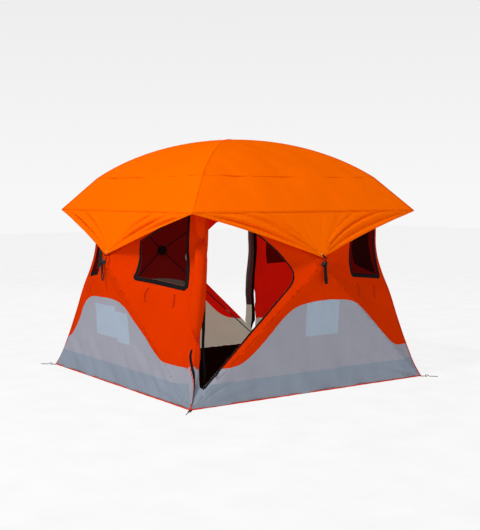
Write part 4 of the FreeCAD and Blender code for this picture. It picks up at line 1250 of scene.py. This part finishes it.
def pull_strap(wall):
    """Loop of webbing on the hub's bar, hanging with its two legs apart."""
    bar = np.array(HUB + HUB_NORMAL * 0.023)
    turn = TURNS[wall]
    drop, reach = 0.150, 0.0048
    t = np.linspace(0, 2 * math.pi, 97)
    y = reach * np.sin(t) * (1 + 1.1 * np.clip(-np.cos(t), 0, 1) ** 0.5 * np.abs(np.sin(t)))
    z = -drop / 2 + (drop / 2 + reach) * np.sign(np.cos(t)) * np.abs(np.cos(t)) ** 0.55
    twist = 0.10 * (z / drop)
    path = np.stack([bar[0] + 0.010 * (z / drop) ** 2, bar[1] + y, bar[2] + z], axis=1)
    across = np.stack([np.cos(twist), np.sin(twist), 0 * t], axis=1)
    obj = ribbon(f"strap_{wall}", path, across, 0.022, 0.0018, WEBBING, turn)
    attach(obj, f"pull_strap_{wall}")
    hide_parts(f"pull_strap_{wall}")


for wall in TURNS:
    pull_strap(wall)


def fly_tab(wall):
    """Short webbing from a flap's grommet down to the top of its hub cap."""
    top = np.array([0, -FLAP_OUT - 0.004, FLAP_Z + 0.012])
    low = np.array(HUB + HUB_UP * 0.006 + HUB_NORMAL * 0.026)
    t = np.linspace(0, 1, 40)[:, None]
    zigzag = np.interp(t, (0, 0.45, 0.62, 1), (0, 0.020, 0.002, 0.014)) * np.array([1, 0, 0])
    path = top + (low - top) * t + zigzag - np.array([0, 1, 0]) * 0.004 * np.sin(math.pi * t)
    across = np.tile([0.75, 0, 0.65], (40, 1))
    obj = ribbon(f"fly_tab_{wall}", path, across, 0.014, 0.0018, WEBBING, TURNS[wall])
    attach(obj, f"hub_{wall}")
    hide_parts("fly_tabs")


for wall in TURNS:
    fly_tab(wall)


def anchor_tab(turn):
    """Webbing tab with a brass eyelet at a floor corner."""
    start, long, half = HALF * math.sqrt(2) - 0.006, 0.060, 0.0125
    eye = start + long - 0.014
    loop = [(start, -half), (start + long, -half), (start + long, half), (start, half)]
    verts, faces = flat_mesh(rounded(loop, 0.006), [circle(eye, 0, 0.0052, 16)], (), 0.007)
    along = verts[:, 0] / math.sqrt(2)
    side = verts[:, 1] / math.sqrt(2)
    lift = 0.0019 + 0.0012 * np.sin((verts[:, 0] - start) / long * math.pi) ** 2
    place = spin(np.stack([along + side, -along + side, lift], axis=1), turn)
    obj = cloth_piece(f"anchor_tab_{turn}", place, faces, verts, [WEBBING], thick=0.0017)
    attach(obj, "shelter")
    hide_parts("anchor_tabs")
    angle = np.linspace(0, 2 * math.pi, 29)
    ring = np.stack([eye + 0.0068 * np.cos(angle), 0.0068 * np.sin(angle)], axis=1) / math.sqrt(2)
    path = np.stack([ring[:, 0] + ring[:, 1], ring[:, 1] - ring[:, 0], 0 * angle + 0.0022], axis=1)
    metal = tube_object(f"anchor_eyelet_{turn}", round_rings(spin(path, turn), 0.0014, 8), BRASS)
    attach(metal, "shelter")


for turn in range(4):
    anchor_tab(turn)

# ---------------------------------------------------------------- CAD parts that stay

CAD_MATERIALS = {
    "hub_pins": STEEL, "tip_pins": STEEL, "ground_stakes": STEEL, "hub_": PLASTIC,
    "bottom_corner_brackets": PAINT, "top_corner_brackets": PAINT, "zip_slider": ZIP_METAL,
    "eave_struts": ROD, "pole": ROD,
}
for name, obj in frame["nodes"].items():
    for start, mat in CAD_MATERIALS.items():
        if name.startswith(start):
            obj.data.materials.clear()
            obj.data.materials.append(mat)
            break

# ---------------------------------------------------------------- floor, light and camera


def build_stage():
    mat, tree, shader = node_material("studio_floor")
    coords = space(tree, "Object")
    speck = link_noise(tree, coords, 3.0)
    pale = link_greys(tree, speck, 0.3, 0.098, 0.7, 0.102)
    tree.links.new(pale, shader.inputs["Base Color"])
    tree.links.new(pale, shader.inputs["Emission Color"])
    set_inputs(shader, Emission_Strength=8.6, Specular_IOR_Level=0.0, Roughness=0.9)
    verts = [(-30, -30, 0), (30, -30, 0), (30, 30, 0), (-30, 30, 0)]
    obj = make_object("studio_floor", verts, [[0, 1, 2, 3]], [mat], flat=True)
    obj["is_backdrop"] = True


def area_light(name, place, aim, size, power, colour=(1, 1, 1)):
    data = bpy.data.lights.new(name, "AREA")
    data.size, data.energy, data.color = size, power, colour
    obj = bpy.data.objects.new(name, data)
    obj.location = place
    obj.rotation_euler = (Vector(aim) - Vector(place)).to_track_quat("-Z", "Y").to_euler()
    bpy.context.scene.collection.objects.link(obj)


build_stage()
area_light("key", (-5.5, -2.0, 7.5), (0, 0, 0.9), 1.2, 480)
area_light("fill", (1.5, -8.0, 3.5), (0, 0, 0.9), 4.0, 40)
area_light("back", (3.0, 6.5, 5.0), (0, 0, 1.2), 4.0, 110)
world = bpy.data.worlds.new("studio")
world.use_nodes = True
sky = world.node_tree
split = sky.nodes.new("ShaderNodeSeparateXYZ")
sky.links.new(sky.nodes.new("ShaderNodeTexCoord").outputs["Generated"], split.inputs[0])
tone = link_ramp(sky, split.outputs["Z"], (
    (0.0, (0.93,) * 3), (0.22, (0.84,) * 3), (0.42, (0.30,) * 3), (1.0, (0.22,) * 3),
))
sky.links.new(tone, sky.nodes["Background"].inputs["Color"])
bpy.context.scene.world = world
bpy.context.scene.view_settings.view_transform = "Standard"

AZIMUTH, ELEVATION = math.radians(-34.918), math.radians(4.165)
DISTANCE = 8.553
AIM_Z, AIM_SIDE = 0.9419, 0.0688
LENS, SENSOR = 65.530189, 36.0
back = Vector((math.sin(AZIMUTH) * math.cos(ELEVATION), -math.cos(AZIMUTH) * math.cos(ELEVATION),
               math.sin(ELEVATION)))
side = Vector((math.cos(AZIMUTH), math.sin(AZIMUTH), 0))
aim = Vector((0, 0, AIM_Z)) + side * AIM_SIDE
camera_data = bpy.data.cameras.new("camera")
camera_data.sensor_fit = "AUTO"
camera_data.sensor_width = SENSOR
camera_data.lens = LENS
camera = bpy.data.objects.new("camera", camera_data)
camera.location = aim + back * DISTANCE
camera.rotation_euler = (-back).to_track_quat("-Z", "Y").to_euler()
bpy.context.scene.collection.objects.link(camera)
bpy.context.scene.camera = camera

low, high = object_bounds()
